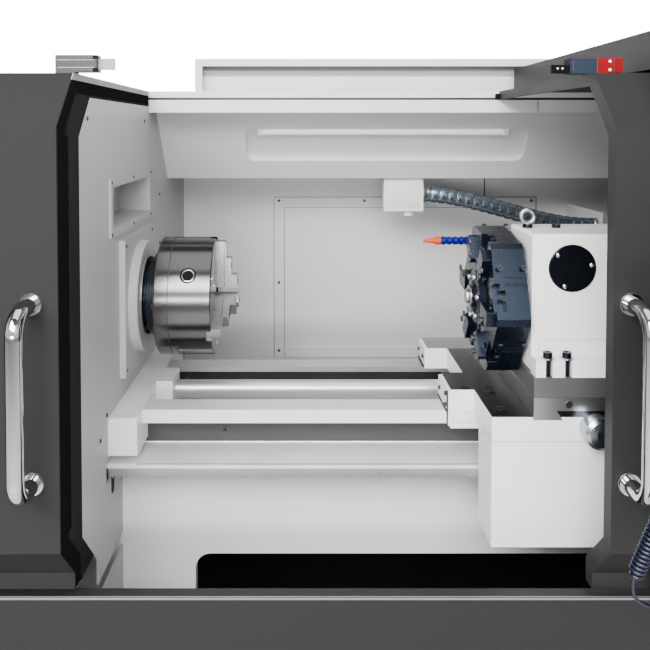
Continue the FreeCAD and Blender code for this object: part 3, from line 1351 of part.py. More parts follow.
def make_cross_slide():
    """Cross slide with its top plate, gib and the turret housing."""
    middle = (S.slide_left + S.slide_right) / 2
    gap = S.slide_gap
    top_gap = S.dovetail_top + gap
    lower = [
        (S.slide_left, S.slide_low), (middle - S.dovetail_half + S.dovetail_undercut - gap, S.slide_low),
        (middle - S.dovetail_half - gap, top_gap), (middle + S.dovetail_half + gap, top_gap),
        (middle + S.dovetail_half - S.dovetail_undercut + gap, S.slide_low),
        (S.slide_right, S.slide_low), (S.slide_right, S.slide_joint - 1),
        (S.slide_right - 1, S.slide_joint), (S.slide_right, S.slide_joint + 1),
        (S.slide_right, S.slide_top), (S.slide_left, S.slide_top),
        (S.slide_left, S.slide_joint + 1), (S.slide_left + 1, S.slide_joint),
        (S.slide_left, S.slide_joint - 1),
    ]
    node(prism("cross_slide_casting", "Y", lower, -S.carriage_front, S.slide_back), "cross_slide")

    block = box("housing_block", (S.housing_left, S.housing_right),
                (-S.housing_front, -S.housing_back), (S.slide_top, S.housing_top))
    block = rounded("housing_round", block, 6, along("Y"))
    foot = box("housing_foot", (S.housing_left, S.housing_right), (-S.carriage_front, -S.housing_front + 1),
               (S.slide_top, S.flange_top))
    slots = []
    for i, x in enumerate(bolt_places()):
        slots.append(box(f"foot_slot_{i}", (x - 6, x + 6), (-S.carriage_front - 1, -S.carriage_front + 17),
                         (S.slide_top - 1, S.flange_top + 1)))
    feed = box("feed_block", (S.housing_left, S.housing_left + 34),
               (-S.housing_back, -S.nozzle_depth + 14), (S.nozzle_height - 16, S.nozzle_height + 16))
    rim = S.turret_height - S.slide_top - 9
    flange = [(S.turret_right + S.sheet_gap, 22 + S.fit_gap), (S.turret_right + S.sheet_gap, rim - 4),
              (S.housing_left, rim), (S.housing_left + 5, rim), (S.housing_left + 5, 22 + S.fit_gap)]
    axis = (-S.turret_depth, S.turret_height)
    flange = turned("turret_flange", "X", flange, axis)
    bore = rod("turret_bore", "X", S.turret_right, S.housing_left + 120, axis, 22 + S.fit_gap)
    barrel = rod("turret_barrel", "X", S.housing_left + 5, S.housing_left + 130, axis, 54)
    casting = fuse("housing_parts", block, foot, feed, flange, barrel)
    node(cut("turret_housing", casting, bore, *slots), "turret_housing")

    bolts = []
    for i, x in enumerate(bolt_places()):
        spot = (x, -S.carriage_front + 10)
        shank = rod(f"foot_shank_{i}", "Z", S.slide_top, S.flange_top, spot, 5)
        washer = rod(f"foot_washer_{i}", "Z", S.flange_top, S.flange_top + 2, spot, 10.5)
        head = rod(f"foot_head_{i}", "Z", S.flange_top + 2, S.flange_top + 12, spot, 8)
        key = rod(f"foot_key_{i}", "Z", S.flange_top + 7, S.flange_top + 13, spot, 4)
        bolts.append(cut(f"foot_bolt_{i}", fuse(f"foot_bolt_parts_{i}", shank, washer, head), key))

    cover = [(-S.housing_front - 3, 0), (-S.housing_front - 3, 40), (-S.housing_front - 2, 41.5),
             (-S.housing_front, 41.5), (-S.housing_front, 0)]
    cover = turned("round_cover", "Y", cover, (S.housing_left + 70, S.housing_top - 60))

    eye_x, eye_y = S.housing_left + 17, -S.housing_front + 86
    ring = DOC.addObject("Part::Torus", "eye_ring")
    bind(ring, "Radius1", Size.of(12))
    bind(ring, "Radius2", Size.of(4))
    place(ring, eye_x, depth(eye_y), S.housing_top + 21, Rotation(Vector(1, 0, 0), 90))
    shoulder = rod("eye_shoulder", "Z", S.housing_top, S.housing_top + 8, (eye_x, eye_y), 9)
    eye = fuse("eye_bolt", ring, shoulder)
    plug = rod("top_plug", "Z", S.housing_top, S.housing_top + 7, (S.housing_left + 70, eye_y), 8)
    node(group("housing_fittings", cover, eye, plug, *bolts), "housing_fittings")
    make_nozzle()


def bolt_places():
    """Row X of the two bolts in the housing's foot."""
    return S.housing_left + 23, S.housing_left + 56


def make_nozzle():
    """Jointed coolant nozzle: a run of balls with a tapered tip, on a short pipe."""
    axis = (-S.nozzle_depth, S.nozzle_height)
    balls = 7
    pitch = (float(S.nozzle_root) - float(S.nozzle_tip) - 36) / balls
    pieces = []
    for i in range(balls):
        x = S.nozzle_root - pitch * (i + 0.5)
        reach = pitch / 2 + 0.6
        r = float(S.ball_radius)
        pieces.append(turned(
            f"nozzle_ball_{i}", "X",
            [(x - reach, 0), (x - reach, r * 0.62), (x - reach / 2, r), (x + reach / 2, r),
             (x + reach, r * 0.62), (x + reach, 0)], axis))
    pipe = rod("nozzle_pipe", "X", S.nozzle_root - 1, S.housing_left, axis, 6)
    end = S.nozzle_root - pitch * balls
    tip = [(S.nozzle_tip, 0), (S.nozzle_tip, 3.2), (S.nozzle_tip + 14, 5), (end - 14, 6),
           (end - 10, 8.5), (end, 8.5), (end, 0)]
    node(fuse("coolant_nozzle", pipe, turned("nozzle_tip", "X", tip, axis), *pieces),
         "coolant_nozzle")


def make_turret():
    """Six-station turret disc with pads, tool slots, clamps and hub."""
    depth_y, height = -S.turret_depth, S.turret_height
    sides = int(S.turret_stations.value)
    step = 360.0 / sides
    across = math.cos(math.radians(step / 2))
    thick = S.turret_right - S.turret_left
    blanks = []
    for name, reach, turned_by in (("flats", S.turret_flat, step / 2), ("corners", S.turret_corner, 0)):
        blank = DOC.addObject("Part::Prism", "turret_" + name)
        blank.Polygon = sides
        bind(blank, "Circumradius", reach / across)
        bind(blank, "Height", thick)
        blank.Placement = Placement(Vector(), Rotation(Vector(0, 0, 1), turned_by))
        blanks.append(blank)
    tools = []
    wide = S.turret_flat * math.tan(math.radians(step / 2)) + 5
    out = (S.turret_flat - S.turret_slot_depth, S.turret_flat + 40)
    top, low = S.turret_slot_top, S.turret_slot_low
    for i in range(sides):
        turn = Rotation(Vector(0, 0, 1), step * i)
        # the lower step of the face, then the tool slot that opens to the left face
        tools.append(turret_block(f"turret_step_{i}", turn, (S.turret_flat - 2, S.turret_flat + 40),
                                  (-wide, -S.turret_pad), (-1, thick + 1)))
        tools.append(turret_block(f"turret_slot_{i}", turn, out, (low, top), (-1, S.turret_slot_width)))
        tools.append(turret_block(f"turret_key_{i}", turn, out, (low - 12, top), (-1, 9)))
    shape = cut("turret_disc_parts", common("turret_blank", *blanks), *tools)
    bore = rod("turret_disc_bore", "Z", -1, 100, (0, 0), 22 + S.fit_gap)
    bore.Placement = Placement(Vector(0, 0, -1), Rotation())
    for letter in "xyz":
        bore.setExpression(f"Placement.Base.{letter}", None)
    whole = cut("turret_disc_bored", shape, bore)
    stand = Rotation(Vector(1, 0, 0), 180 + float(S.turret_turn)) * Rotation(Vector(0, 1, 0), 90)
    clamps = []
    for i in range(sides):
        turn = Rotation(Vector(0, 0, 1), step * (i + 0.5))
        wedge = turret_block(f"turret_wedge_{i}", turn, (66, S.turret_corner - 20), (-14, 14),
                             (-S.clamp_reach, 0))
        clamps.append(rounded(f"turret_clamp_{i}", wedge, 4, along("Z", 10)))
    whole = fuse("turret_disc", whole, *clamps)
    node(place(whole, S.turret_left, depth(depth_y), height, stand), "turret_disc")

    hub = [(S.turret_left - 20, 0), (S.turret_left - 20, 12), (S.turret_left - 12, 34),
           (S.turret_left - 10, 48), (S.turret_left, 56), (S.turret_left, 22),
           (S.housing_left + 90, 22), (S.housing_left + 90, 0)]
    node(turned("turret_hub_turning", "X", hub, (depth_y, height)), "turret_hub")


def turret_block(name, turn, outward, across, thick):
    """Block on one station of the disc, before the disc is stood on its axis."""
    thing = DOC.addObject("Part::Box", name)
    for field, (low, high) in (("Length", outward), ("Width", across), ("Height", thick)):
        bind(thing, field, Size.of(high) - low)
    corner = turn.multVec(Vector(float(outward[0]), float(across[0]), float(thick[0])))
    thing.Placement = Placement(corner, turn)
    return thing


def make_feed():
    """Lead screw with its end bearings and motor."""
    left = S.wall_face + S.foot_beam
    axis = (0, S.screw_height)
    screw = rod("lead_screw_bar", "X", left + 6, S.screw_right, axis, S.screw_radius)
    node(screw, "lead_screw")
    places = (
        ((left, left + 34), (left + 4, left + 35)),
        ((S.screw_right - 40, S.screw_right + 10), (S.screw_right - 41, S.screw_right + 2)),
    )
    ends = []
    for i, (block, hole) in enumerate(places):
        block = box(f"screw_block_{i}", block, (-46, 46), (S.trough_floor, S.screw_height + 32))
        hole = rod(f"screw_hole_{i}", "X", *hole, axis, S.screw_radius + S.fit_gap)
        ends.append(cut(f"screw_end_{i}", block, hole))
    motor = box("feed_motor_block", (S.screw_right + 10, S.screw_right + 140), (-46, 46),
                (S.screw_height - 46, S.screw_height + 46))
    motor = rounded("feed_motor", motor, 10, along("X"))
    node(group("feed_drive", ends[0], fuse("feed_motor_end", ends[1], motor)), "feed_drive")


# ---------------------------------------------------------------- cables

def make_cable_box():
    """Cable box under the lamp beam and the metal conduit that runs on to the right end."""
    back = S.beam_back_depth
    front = S.cable_box_front
    block = box("cable_box_block", (S.cable_box_left, S.cable_box_right), (front, back),
                (S.cable_box_low, S.beam_low))
    nut = rod("cable_gland", "Z", S.cable_box_low - 14, S.cable_box_low,
              (S.cable_box_left + 70, (front + back) / 2), 13)
    node(fuse("cable_box", block, nut), "cable_box")

    start = Vector(float(S.cable_box_right) + 0.3, 0, float(S.conduit_start_height))
    end = Vector(float(S.conduit_end) - 0.3, 0, float(S.conduit_end_height))
    links = int(S.conduit_links.value)
    half_h, sag = float(S.conduit_height) / 2, float(S.conduit_sag)

    def spot(share):
        """Middle line of the conduit: level at the box, then down to its bracket."""
        fall = share * share * (3 - 2 * share)
        x = start.x + (end.x - start.x) * share
        return Vector(x, 0, start.z + (end.z - start.z) * fall - sag * share * (1 - share))

    upper, lower = [], []
    steps = 2 * links
    for i in range(steps + 1):
        share = i / steps
        here = spot(share)
        slope = (spot(min(share + 0.01, 1)) - spot(max(share - 0.01, 0))).normalize()
        if i in (0, steps):
            slope = Vector(1, 0, 0)
        out = half_h if i % 2 else half_h - 2.5
        normal = Vector(-slope.z, 0, slope.x)
        upper.append(here + normal * out)
        lower.append(here - normal * out)
    outline = upper + list(reversed(lower)) + [upper[0]]
    face = Part.Face(Part.makePolygon(outline))
    conduit = DOC.addObject("Part::Feature", "conduit_links_body")
    conduit.Shape = face.extrude(Vector(0, float(S.conduit_depth), 0))
    place(conduit, 0, depth(front + (back - front - S.conduit_depth) / 2), 0)
    node(conduit, "metal_conduit")


def arc_between(start, heading, end):
    """Arc from a point, along a heading there, to another point."""
    chord = end - start
    length = chord.Length
    unit = Vector(chord).normalize()
    side = heading - unit * heading.dot(unit)
    if side.Length < 1e-9:
        return Part.LineSegment(start, end).toShape()
    side.normalize()
    angle = math.acos(max(-1.0, min(1.0, heading.dot(unit))))
    middle = start + chord * 0.5 + side * (length / 2 * math.tan(angle / 2))
    return Part.Arc(start, middle, end).toShape()


def biarc(start, heading, end, heading_end):
    """Two arcs that join two points and keep the line smooth."""
    span = end - start
    total = heading + heading_end
    share = 2 * (1 - heading.dot(heading_end))
    reach = (-span.dot(total) + math.sqrt(span.dot(total) ** 2 + share * span.dot(span))) / share
    joint = (start + end + (heading - heading_end) * reach) * 0.5
    back = arc_between(end, heading_end * -1, joint)
    return [arc_between(start, heading, joint), back]


def round_tube(points, radius):
    """Tube along straight runs joined by tangent arcs."""
    edges = []
    here = points[0]
    for i in range(1, len(points) - 1):
        before, after = points[i] - points[i - 1], points[i + 1] - points[i]
        turn = before.getAngle(after)
        bend = 0.45 * min(before.Length, after.Length) / math.tan(turn / 2)
        cut_back = bend * math.tan(turn / 2)
        first = points[i] - Vector(before).normalize() * cut_back
        last = points[i] + Vector(after).normalize() * cut_back
        print(f"pendant tail bend {i}: radius {bend:.1f} mm")
        edges.append(Part.LineSegment(here, first).toShape())
        edges.append(arc_between(first, Vector(before).normalize(), last))
        here = last
    edges.append(Part.LineSegment(here, points[-1]).toShape())
    return pipe(Part.Wire(edges), points[0], points[1] - points[0], radius)


def pipe(path, start, heading, radius):
    """Solid tube of round section along a path that begins at a point with a heading."""
    ring = Part.Wire(Part.Circle(start, heading, radius).toShape())
    shell = Part.BRepOffsetAPI.MakePipeShell(path)
    shell.add(ring)
    shell.build()
    shell.makeSolid()
    return shell.shape()


def make_pendant():
    """Control box, stop button, hand pendant and its curly cord."""
    low, high = S.panel_low, S.panel_high
    case = box("panel_case", (S.panel_left, S.panel_right), (-S.panel_front, -S.hood_front), (low, high))
    case = rounded("panel_round", case, 12, along("Y"))
    screen_gap = box("screen_gap", (S.panel_left + 30, S.panel_left + 260),
                     (-S.panel_front - 1, -S.panel_front + 6), (high - 200, high - 25))
    stop = (S.panel_left + 80, low + 90)
    stop_bore = rod("stop_bore", "Y", -S.panel_front - 1, -S.panel_front + 16, stop, 12)
    case = cut("panel_body", case, screen_gap, stop_bore)
    keys = []
    for row in range(6):
        for column in range(5):
            x, z = S.panel_left + 290 + 30 * column, high - 50 - 28 * row
            keys.append(box(f"key_{row}{column}", (x, x + 22), (-S.panel_front - 2, -S.panel_front),
                            (z, z + 20)))
    knob = [(-S.panel_front - 22, 0), (-S.panel_front - 22, 13), (-S.panel_front - 20, 15),
            (-S.panel_front - 5, 15), (-S.panel_front - S.sheet_gap, 18),
            (-S.panel_front - S.sheet_gap, 0)]
    node(turned("feed_knob_turning", "Y", knob, (S.panel_left + 330, low + 90)), "feed_knob")
    collar = [(-S.panel_front - 10, 12), (-S.panel_front - 10, 26), (-S.panel_front, 28),
              (-S.panel_front, 12)]
    collar = turned("stop_collar", "Y", collar, stop)
    head = [(-S.stop_reach, 0), (-S.stop_reach, S.stop_radius - 6),
            (-S.stop_reach + 5, S.stop_radius), (-S.stop_reach + 14, S.stop_radius),
            (-S.stop_reach + 18, 11.95), (-S.panel_front + 8, 11.95), (-S.panel_front + 8, 0)]
    node(turned("stop_button_turning", "Y", head, stop), "stop_button")

    exit_point = Vector(370, -690, 1078)
    lowest = Vector(332, -617, 861)
    half = S.pendant_width / 2
    x, low = S.pendant_place, S.pendant_low
    front = -S.panel_front + 10 - S.pendant_thickness / 2
    back = front + S.pendant_thickness
    body = box("pendant_block", (x - half, x + half), (front, back), (low, low + S.pendant_length))
    body = rounded("pendant_round", body, 10, along("Y"))
    gland = rod("pendant_gland", "Z", low - 14, low + 1, (x, -S.panel_front + 10), 9)
    node(fuse("hand_pendant", body, gland), "hand_pendant")
    wheel = [(front - 18, 0), (front - 18, 26), (front - 14, 28), (front - S.sheet_gap, 28),
             (front - S.sheet_gap, 0)]
    node(turned("pendant_wheel_turning", "Y", wheel, (x, low + 58)), "pendant_wheel")
    holder = (low + 88, low + 148)
    hook = [box("holder_back", (x - half, S.panel_left), (back, back + 4), holder),
            box("holder_side", (S.panel_left - 4, S.panel_left), (back, -S.hood_front - 40), holder),
            box("holder_cheek", (x + half, x + half + S.sheet), (back - 37, back), holder)]
    node(fuse("control_box", case, collar, *keys, *hook), "control_box")

    make_curly_cord(exit_point, lowest)


def make_curly_cord(top, bottom):
    """Curly cord of the pendant and its plain tail to the gland on the hood."""
    axis = bottom - top
    length = axis.Length
    straight = 5 * float(S.cord_wire)
    wound = length - 2 * straight
    curls = int(S.cord_curls.value)
    pitch = wound / curls
    radius = float(S.cord_curl)
    rise = pitch / (2 * math.pi)
    frame = Rotation(Vector(0, 0, 1), axis)

    def helix(turns):
        """Point and heading on the helix after so many turns."""
        around = 2 * math.pi * turns
        where = Vector(radius * math.cos(around), radius * math.sin(around), straight + pitch * turns)
        ahead = Vector(-radius * math.sin(around), radius * math.cos(around), rise).normalize()
        return frame.multVec(where) + top, frame.multVec(ahead)

    edges = []
    down = Vector(axis).normalize()
    lead = top + down * straight * 0.6
    start = top + down * 1.0
    edges.append(Part.LineSegment(start, lead).toShape())
    point, ahead = helix(0.12)
    edges += biarc(lead, down, point, ahead)
    quarters = 4 * curls - 1
    turn = 0.12
    step = (curls - 0.24) / quarters
    for _ in range(quarters):
        turn += step
        following, heading = helix(turn)
        edges += biarc(point, ahead, following, heading)
        point, ahead = following, heading
    tail = bottom - down * straight * 0.6
    edges += biarc(point, ahead, tail, down)
    edges.append(Part.LineSegment(tail, bottom).toShape())
    path = Part.Wire(Part.__sortEdges__(edges))
    solid = pipe(path, start, down, float(S.cord_wire))
    wire_length = path.Length
    section = math.pi * float(S.cord_wire) ** 2
    print(f"curly cord: {wire_length:.1f} mm of wire, volume over section times length "
          f"{solid.Volume / (section * wire_length):.4f}")
    print(f"curly cord: least gap between neighbouring curls {curl_gap(helix, curls):.2f} mm")
    cord = DOC.addObject("Part::Feature", "pendant_cord_coil")
    cord.Shape = solid
    place(cord, 0, S.axis_depth, 0)
    node(cord, "pendant_cord")

    points = [bottom + down * 0.8, Vector(335, -611, 838), Vector(350, -606, 822), Vector(372, -604, 816),
              Vector(396, -604, 820), Vector(418, -602, 832), Vector(436, -600, 848),
              Vector(450, -597, 866), Vector(460, -592, 884), Vector(466, -584, 896),
              Vector(467.7, -575.5, 899.5)]
    solid = round_tube(points, float(S.cord_wire))
    tube = DOC.addObject("Part::Feature", "pendant_tail_tube")
    tube.Shape = solid
    place(tube, 0, S.axis_depth, 0)
    node(tube, "pendant_tail")


def curl_gap(helix, curls):
    """Least gap between one curl and the next, on points."""
    per_turn = 24
    points = [helix(0.12 + i / per_turn)[0] for i in range(int((curls - 0.3) * per_turn))]
    least = 1e9
    for i, here in enumerate(points[: 2 * per_turn]):
        for there in points[i + per_turn // 2:]:
            least = min(least, (here - there).Length)
    return least - 2 * float(S.cord_wire)


# ---------------------------------------------------------------- electrical cabinet

def make_cabinet():
    """Electrical cabinet on the back, with its door, hinges and latches."""
    back = S.back_face + S.cabinet_depth
    x, z = (S.cabinet_left, S.cabinet_right), (S.cabinet_low, S.cabinet_high)
    case = box("cabinet_block", x, (S.back_face, back), z)
    hollow = box("cabinet_hollow", (S.cabinet_left + 3, S.cabinet_right - 3),
                 (S.back_face + 3, back + 1), (S.cabinet_low + 3, S.cabinet_high - 3))
    case = cut("cabinet_shell", case, hollow)
    plate = box("mounting_plate", (S.cabinet_left + 30, S.cabinet_right - 30),
                (S.back_face + 3, S.back_face + 6), (S.cabinet_low + 30, S.cabinet_high - 30))
    drive = []
    for i in range(3):
        left = S.cabinet_left + 70 + 220 * i
        drive.append(box(f"drive_{i}", (left, left + 170), (S.back_face + 6, S.back_face + 116),
                         (S.cabinet_low + 330, S.cabinet_low + 620)))
    pin_x, pin_y = S.cabinet_right + 8, S.cabinet_back - 7
    fixed, swung = [], []
    for i, height in enumerate((S.cabinet_low + 120, S.cabinet_high - 120)):
        barrel = rod(f"hinge_barrel_{i}", "Z", height - 25, height + 25, (pin_x, pin_y), 7)
        leaf = box(f"hinge_leaf_{i}", (S.cabinet_right, S.cabinet_right + 4), (back - 40, pin_y),
                   (height - 25, height + 25))
        fixed.append(fuse(f"hinge_fixed_{i}", barrel, leaf))
        for j, (under, over) in enumerate(((height - 75, height - 25.3), (height + 25.3, height + 75))):
            barrel = rod(f"hinge_knuckle_{i}{j}", "Z", under, over, (pin_x, pin_y), 7)
            leaf = box(f"hinge_strap_{i}{j}", (S.cabinet_right - 30, pin_x),
                       (S.cabinet_back - 6, S.cabinet_back - 3), (under, over))
            swung.append(fuse(f"hinge_swung_{i}{j}", barrel, leaf))
    node(fuse("cabinet_case", case, plate, *drive, *fixed), "cabinet_case")
    door = box("cabinet_door_sheet", x, (back + 0.3, S.cabinet_back - 6), z)
    dish = box("cabinet_door_dish", (S.cabinet_left + 4, S.cabinet_right - 4),
               (back, S.cabinet_back - 9), (S.cabinet_low + 4, S.cabinet_high - 4))
    door = rounded("cabinet_door_round", cut("cabinet_door_parts", door, dish), 4, along("Y", 5))
    latches = []
    for i, height in enumerate((S.cabinet_low + 160, S.cabinet_high - 160)):
        latches.append(rod(f"latch_{i}", "Y", S.cabinet_back - 6, S.cabinet_back,
                           (S.cabinet_left + 30, height), 14))
    node(fuse("cabinet_door", door, *latches, *swung), "cabinet_door")


def build():
    """Make every sub-part."""
    make_base()
    make_bed()
    make_left_cover()
    make_headstock_wall()
    make_roof()
    make_lamp_beam()
    make_hood()
    make_doors()
    make_spindle_wall()
    make_spindle()
    make_drive()
    make_carriage()
    make_cross_slide()
    make_turret()
    make_feed()
    make_cable_box()
    make_pendant()
    make_cabinet()
    DOC.recompute()


def export():
    """Check every object and write each sub-part."""
    faults = [item.Label for item in DOC.Objects if {"Invalid", "Error"} & set(item.State)]
    if faults:
        raise RuntimeError("objects in error: " + ", ".join(faults))
    os.makedirs("parts", exist_ok=True)
    broken = [
        name for name, thing in NODES.items()
        if thing.Shape.isNull() or not thing.Shape.isValid() or not thing.Shape.Solids
    ]
    if broken:
        raise RuntimeError("sub-parts without a valid solid: " + ", ".join(broken))
    for name, thing in NODES.items():
        thing.Shape.exportStep(f"parts/{name}.step")
    print(f"{len(NODES)} sub-parts written")


build()
export()
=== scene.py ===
"""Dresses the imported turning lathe: finishes, fine parts, cords, studio and camera.

Lengths are in metres in the row frame: +X along the spindle to the right, +Y to the back, +Z up.
"""
import json
import logging
import math
from dataclasses import dataclass
from enum import Enum
from itertools import product
from typing import Dict, Iterable, List, Optional, Sequence, Tuple

import bmesh
import bpy
from mathutils import Matrix, Vector

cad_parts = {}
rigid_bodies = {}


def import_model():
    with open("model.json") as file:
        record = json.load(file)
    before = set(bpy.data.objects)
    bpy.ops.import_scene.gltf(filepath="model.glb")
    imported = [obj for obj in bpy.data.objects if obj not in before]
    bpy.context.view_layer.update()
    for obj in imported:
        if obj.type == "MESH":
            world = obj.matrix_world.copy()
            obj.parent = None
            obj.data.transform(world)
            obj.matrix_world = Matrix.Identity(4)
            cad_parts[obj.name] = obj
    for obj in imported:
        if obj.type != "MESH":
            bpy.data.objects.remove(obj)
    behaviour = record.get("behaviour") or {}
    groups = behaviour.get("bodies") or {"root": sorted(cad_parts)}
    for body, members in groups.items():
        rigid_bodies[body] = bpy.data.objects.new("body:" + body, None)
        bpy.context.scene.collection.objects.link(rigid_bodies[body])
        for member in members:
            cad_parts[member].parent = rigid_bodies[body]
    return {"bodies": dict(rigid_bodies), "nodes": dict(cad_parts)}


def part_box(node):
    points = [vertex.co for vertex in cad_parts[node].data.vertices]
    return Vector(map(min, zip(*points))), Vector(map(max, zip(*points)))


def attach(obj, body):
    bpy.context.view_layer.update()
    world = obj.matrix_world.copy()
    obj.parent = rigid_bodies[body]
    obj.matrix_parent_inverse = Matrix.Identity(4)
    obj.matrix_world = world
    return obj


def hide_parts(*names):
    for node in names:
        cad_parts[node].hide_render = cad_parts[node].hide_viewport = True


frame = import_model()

log = logging.getLogger("lathe")

Point = Tuple[float, float, float]
Colour = Tuple[float, float, float]
Span = Tuple[Optional[float], Optional[float]]
Profile = Sequence[Tuple[float, float]]

AXIS_Y = -0.055
AXIS_Z = 1.120
WALL_X = -0.482
DOOR_EDGE_X = -0.4835


def deep(from_axis: float) -> float:
    """Row depth of a place measured from the spindle axis."""
    return AXIS_Y + from_axis


def deeps(*from_axis: float) -> List[float]:
    """Row depths of several places measured from the spindle axis."""
    return [deep(value) for value in from_axis]


# ------------------------------------------------------------------ shader maths

class Wire:
    """A number in a material's node tree, with the usual arithmetic."""

    def __init__(self, tree: "Tree", socket: bpy.types.NodeSocket) -> None:
        """Keep the tree and the socket that gives the number."""
        self.tree = tree
        self.socket = socket

    def _math(self, operation: str, first: object, second: object) -> "Wire":
        """One Math node on two values or sockets."""
        return self.tree.wire("ShaderNodeMath", {"operation": operation}, {0: first, 1: second})

    def __add__(self, other: object) -> "Wire":
        """Sum."""
        return self._math("ADD", self, other)

    def __radd__(self, other: object) -> "Wire":
        """Sum with the number first."""
        return self._math("ADD", other, self)

    def __sub__(self, other: object) -> "Wire":
        """Difference."""
        return self._math("SUBTRACT", self, other)

    def __rsub__(self, other: object) -> "Wire":
        """Difference with the number first."""
        return self._math("SUBTRACT", other, self)

    def __mul__(self, other: object) -> "Wire":
        """Product."""
        return self._math("MULTIPLY", self, other)

    def over(self, limit: float) -> "Wire":
        """One where the value is above the limit."""
        return self._math("GREATER_THAN", self, limit)

    def under(self, limit: float) -> "Wire":
        """One where the value is below the limit."""
        return self._math("LESS_THAN", self, limit)


class Tree:
    """The node tree of one material, with a Principled shader at its end."""

    def __init__(self, name: str) -> None:
        """Make an empty material with its shader.

        Args:
            name: the material's name.
        """
        self.material = bpy.data.materials.new(name)
        self.material.use_nodes = True
        self.nodes = self.material.node_tree.nodes
        self.links = self.material.node_tree.links
        self.nodes.clear()
        output = self.nodes.new("ShaderNodeOutputMaterial")
        self.shader = self.nodes.new("ShaderNodeBsdfPrincipled")
        self.links.new(self.shader.outputs[0], output.inputs[0])
        self.place = self.nodes.new("ShaderNodeTexCoord").outputs["Object"]
        split = self.node("ShaderNodeSeparateXYZ", {}, {0: self.place})
        self.x, self.y, self.z = (Wire(self, split.outputs[i]) for i in range(3))

    def node(self, kind: str, settings: Dict[str, object],
             inputs: Dict[object, object]) -> bpy.types.Node:
        """One node, its settings first and then its values and links.

        Args:
            kind: the node's type.
            settings: its properties.
            inputs: values, sockets or wires by input name or number.

        Returns:
            The node.
        """
        made = self.nodes.new(kind)
        for key, value in settings.items():
            setattr(made, key, value)
        for key, value in inputs.items():
            self.feed(made.inputs[key], value)
        return made

    def feed(self, socket: bpy.types.NodeSocket, value: object) -> None:
        """Set a socket, or link it."""
        if isinstance(value, Wire):
            value = value.socket
        if isinstance(value, bpy.types.NodeSocket):
            self.links.new(value, socket)
        else:
            socket.default_value = value

    def wire(self, kind: str, settings: Dict[str, object], inputs: Dict[object, object]) -> Wire:
        """A node's first output as a number."""
        return Wire(self, self.node(kind, settings, inputs).outputs[0])

    def noise(self, scale: float, detail: float, rough: float,
              stretch: Point = (1.0, 1.0, 1.0)) -> Wire:
        """Noise on object coordinates.

        Args:
            scale: grains in a metre.
            detail: octaves.
            rough: strength of the finer octaves.
            stretch: factor on each axis; a small one draws the grain out along it.

        Returns:
            A wire from 0 to 1.
        """
        place = self.place
        if stretch != (1.0, 1.0, 1.0):
            place = self.node("ShaderNodeMapping", {},
                              {"Vector": self.place, "Scale": stretch}).outputs[0]
        return self.wire("ShaderNodeTexNoise", {},
                         {"Vector": place, "Scale": scale, "Detail": detail, "Roughness": rough})

    def mix(self, factor: object, first: object, second: object) -> bpy.types.NodeSocket:
        """Blend two colours."""
        return self.node("ShaderNodeMix", {"data_type": "RGBA"},
                         {0: factor, 6: first, 7: second}).outputs[2]

    def shade(self, colour: object, factor: Wire) -> bpy.types.NodeSocket:
        """A colour made lighter or darker by a factor."""
        grey = self.node("ShaderNodeCombineXYZ", {}, {i: factor for i in range(3)}).outputs[0]
        return self.node("ShaderNodeVectorMath", {"operation": "MULTIPLY"},
                         {0: colour, 1: grey}).outputs[0]


class Lay(Enum):
    """Way in which a ground surface was cut."""

    NONE = (1.0, 1.0, 1.0)
    ALONG_X = (0.03, 1.0, 1.0)


@dataclass(frozen=True)
class Coat:
    """Look of one zone of a surface."""

    colour: Colour
    rough: float = 0.5
    metal: float = 0.0
    mottle: float = 0.06
    grain: float = 0.0
    grain_scale: float = 900.0
    lay: Lay = Lay.NONE


@dataclass(frozen=True)
class Zone:
    """A box of the row frame in which another coat shows, with None for an open side."""

    coat: Coat
    x: Span = (None, None)
    y: Span = (None, None)
    z: Span = (None, None)

    def mask(self, tree: Tree) -> Wire:
        """One inside the zone."""
        total: Optional[Wire] = None
        for value, (low, high) in zip((tree.x, tree.y, tree.z), (self.x, self.y, self.z)):
            for test in (None if low is None else value.over(low),
                         None if high is None else value.under(high)):
                if test is not None:
                    total = test if total is None else total * test
        return total


MADE: Dict[str, bpy.types.Material] = {}

MEAN = 0.5
CLOUD_SCALE, CLOUD_DETAIL, CLOUD_ROUGH, CLOUD_SHINE = 7.0, 3.0, 0.55, 0.08
GRAIN_DETAIL, GRAIN_ROUGH, GRAIN_SHINE = 2.0, 0.6, 0.10
BUMP_DEPTH = 0.001


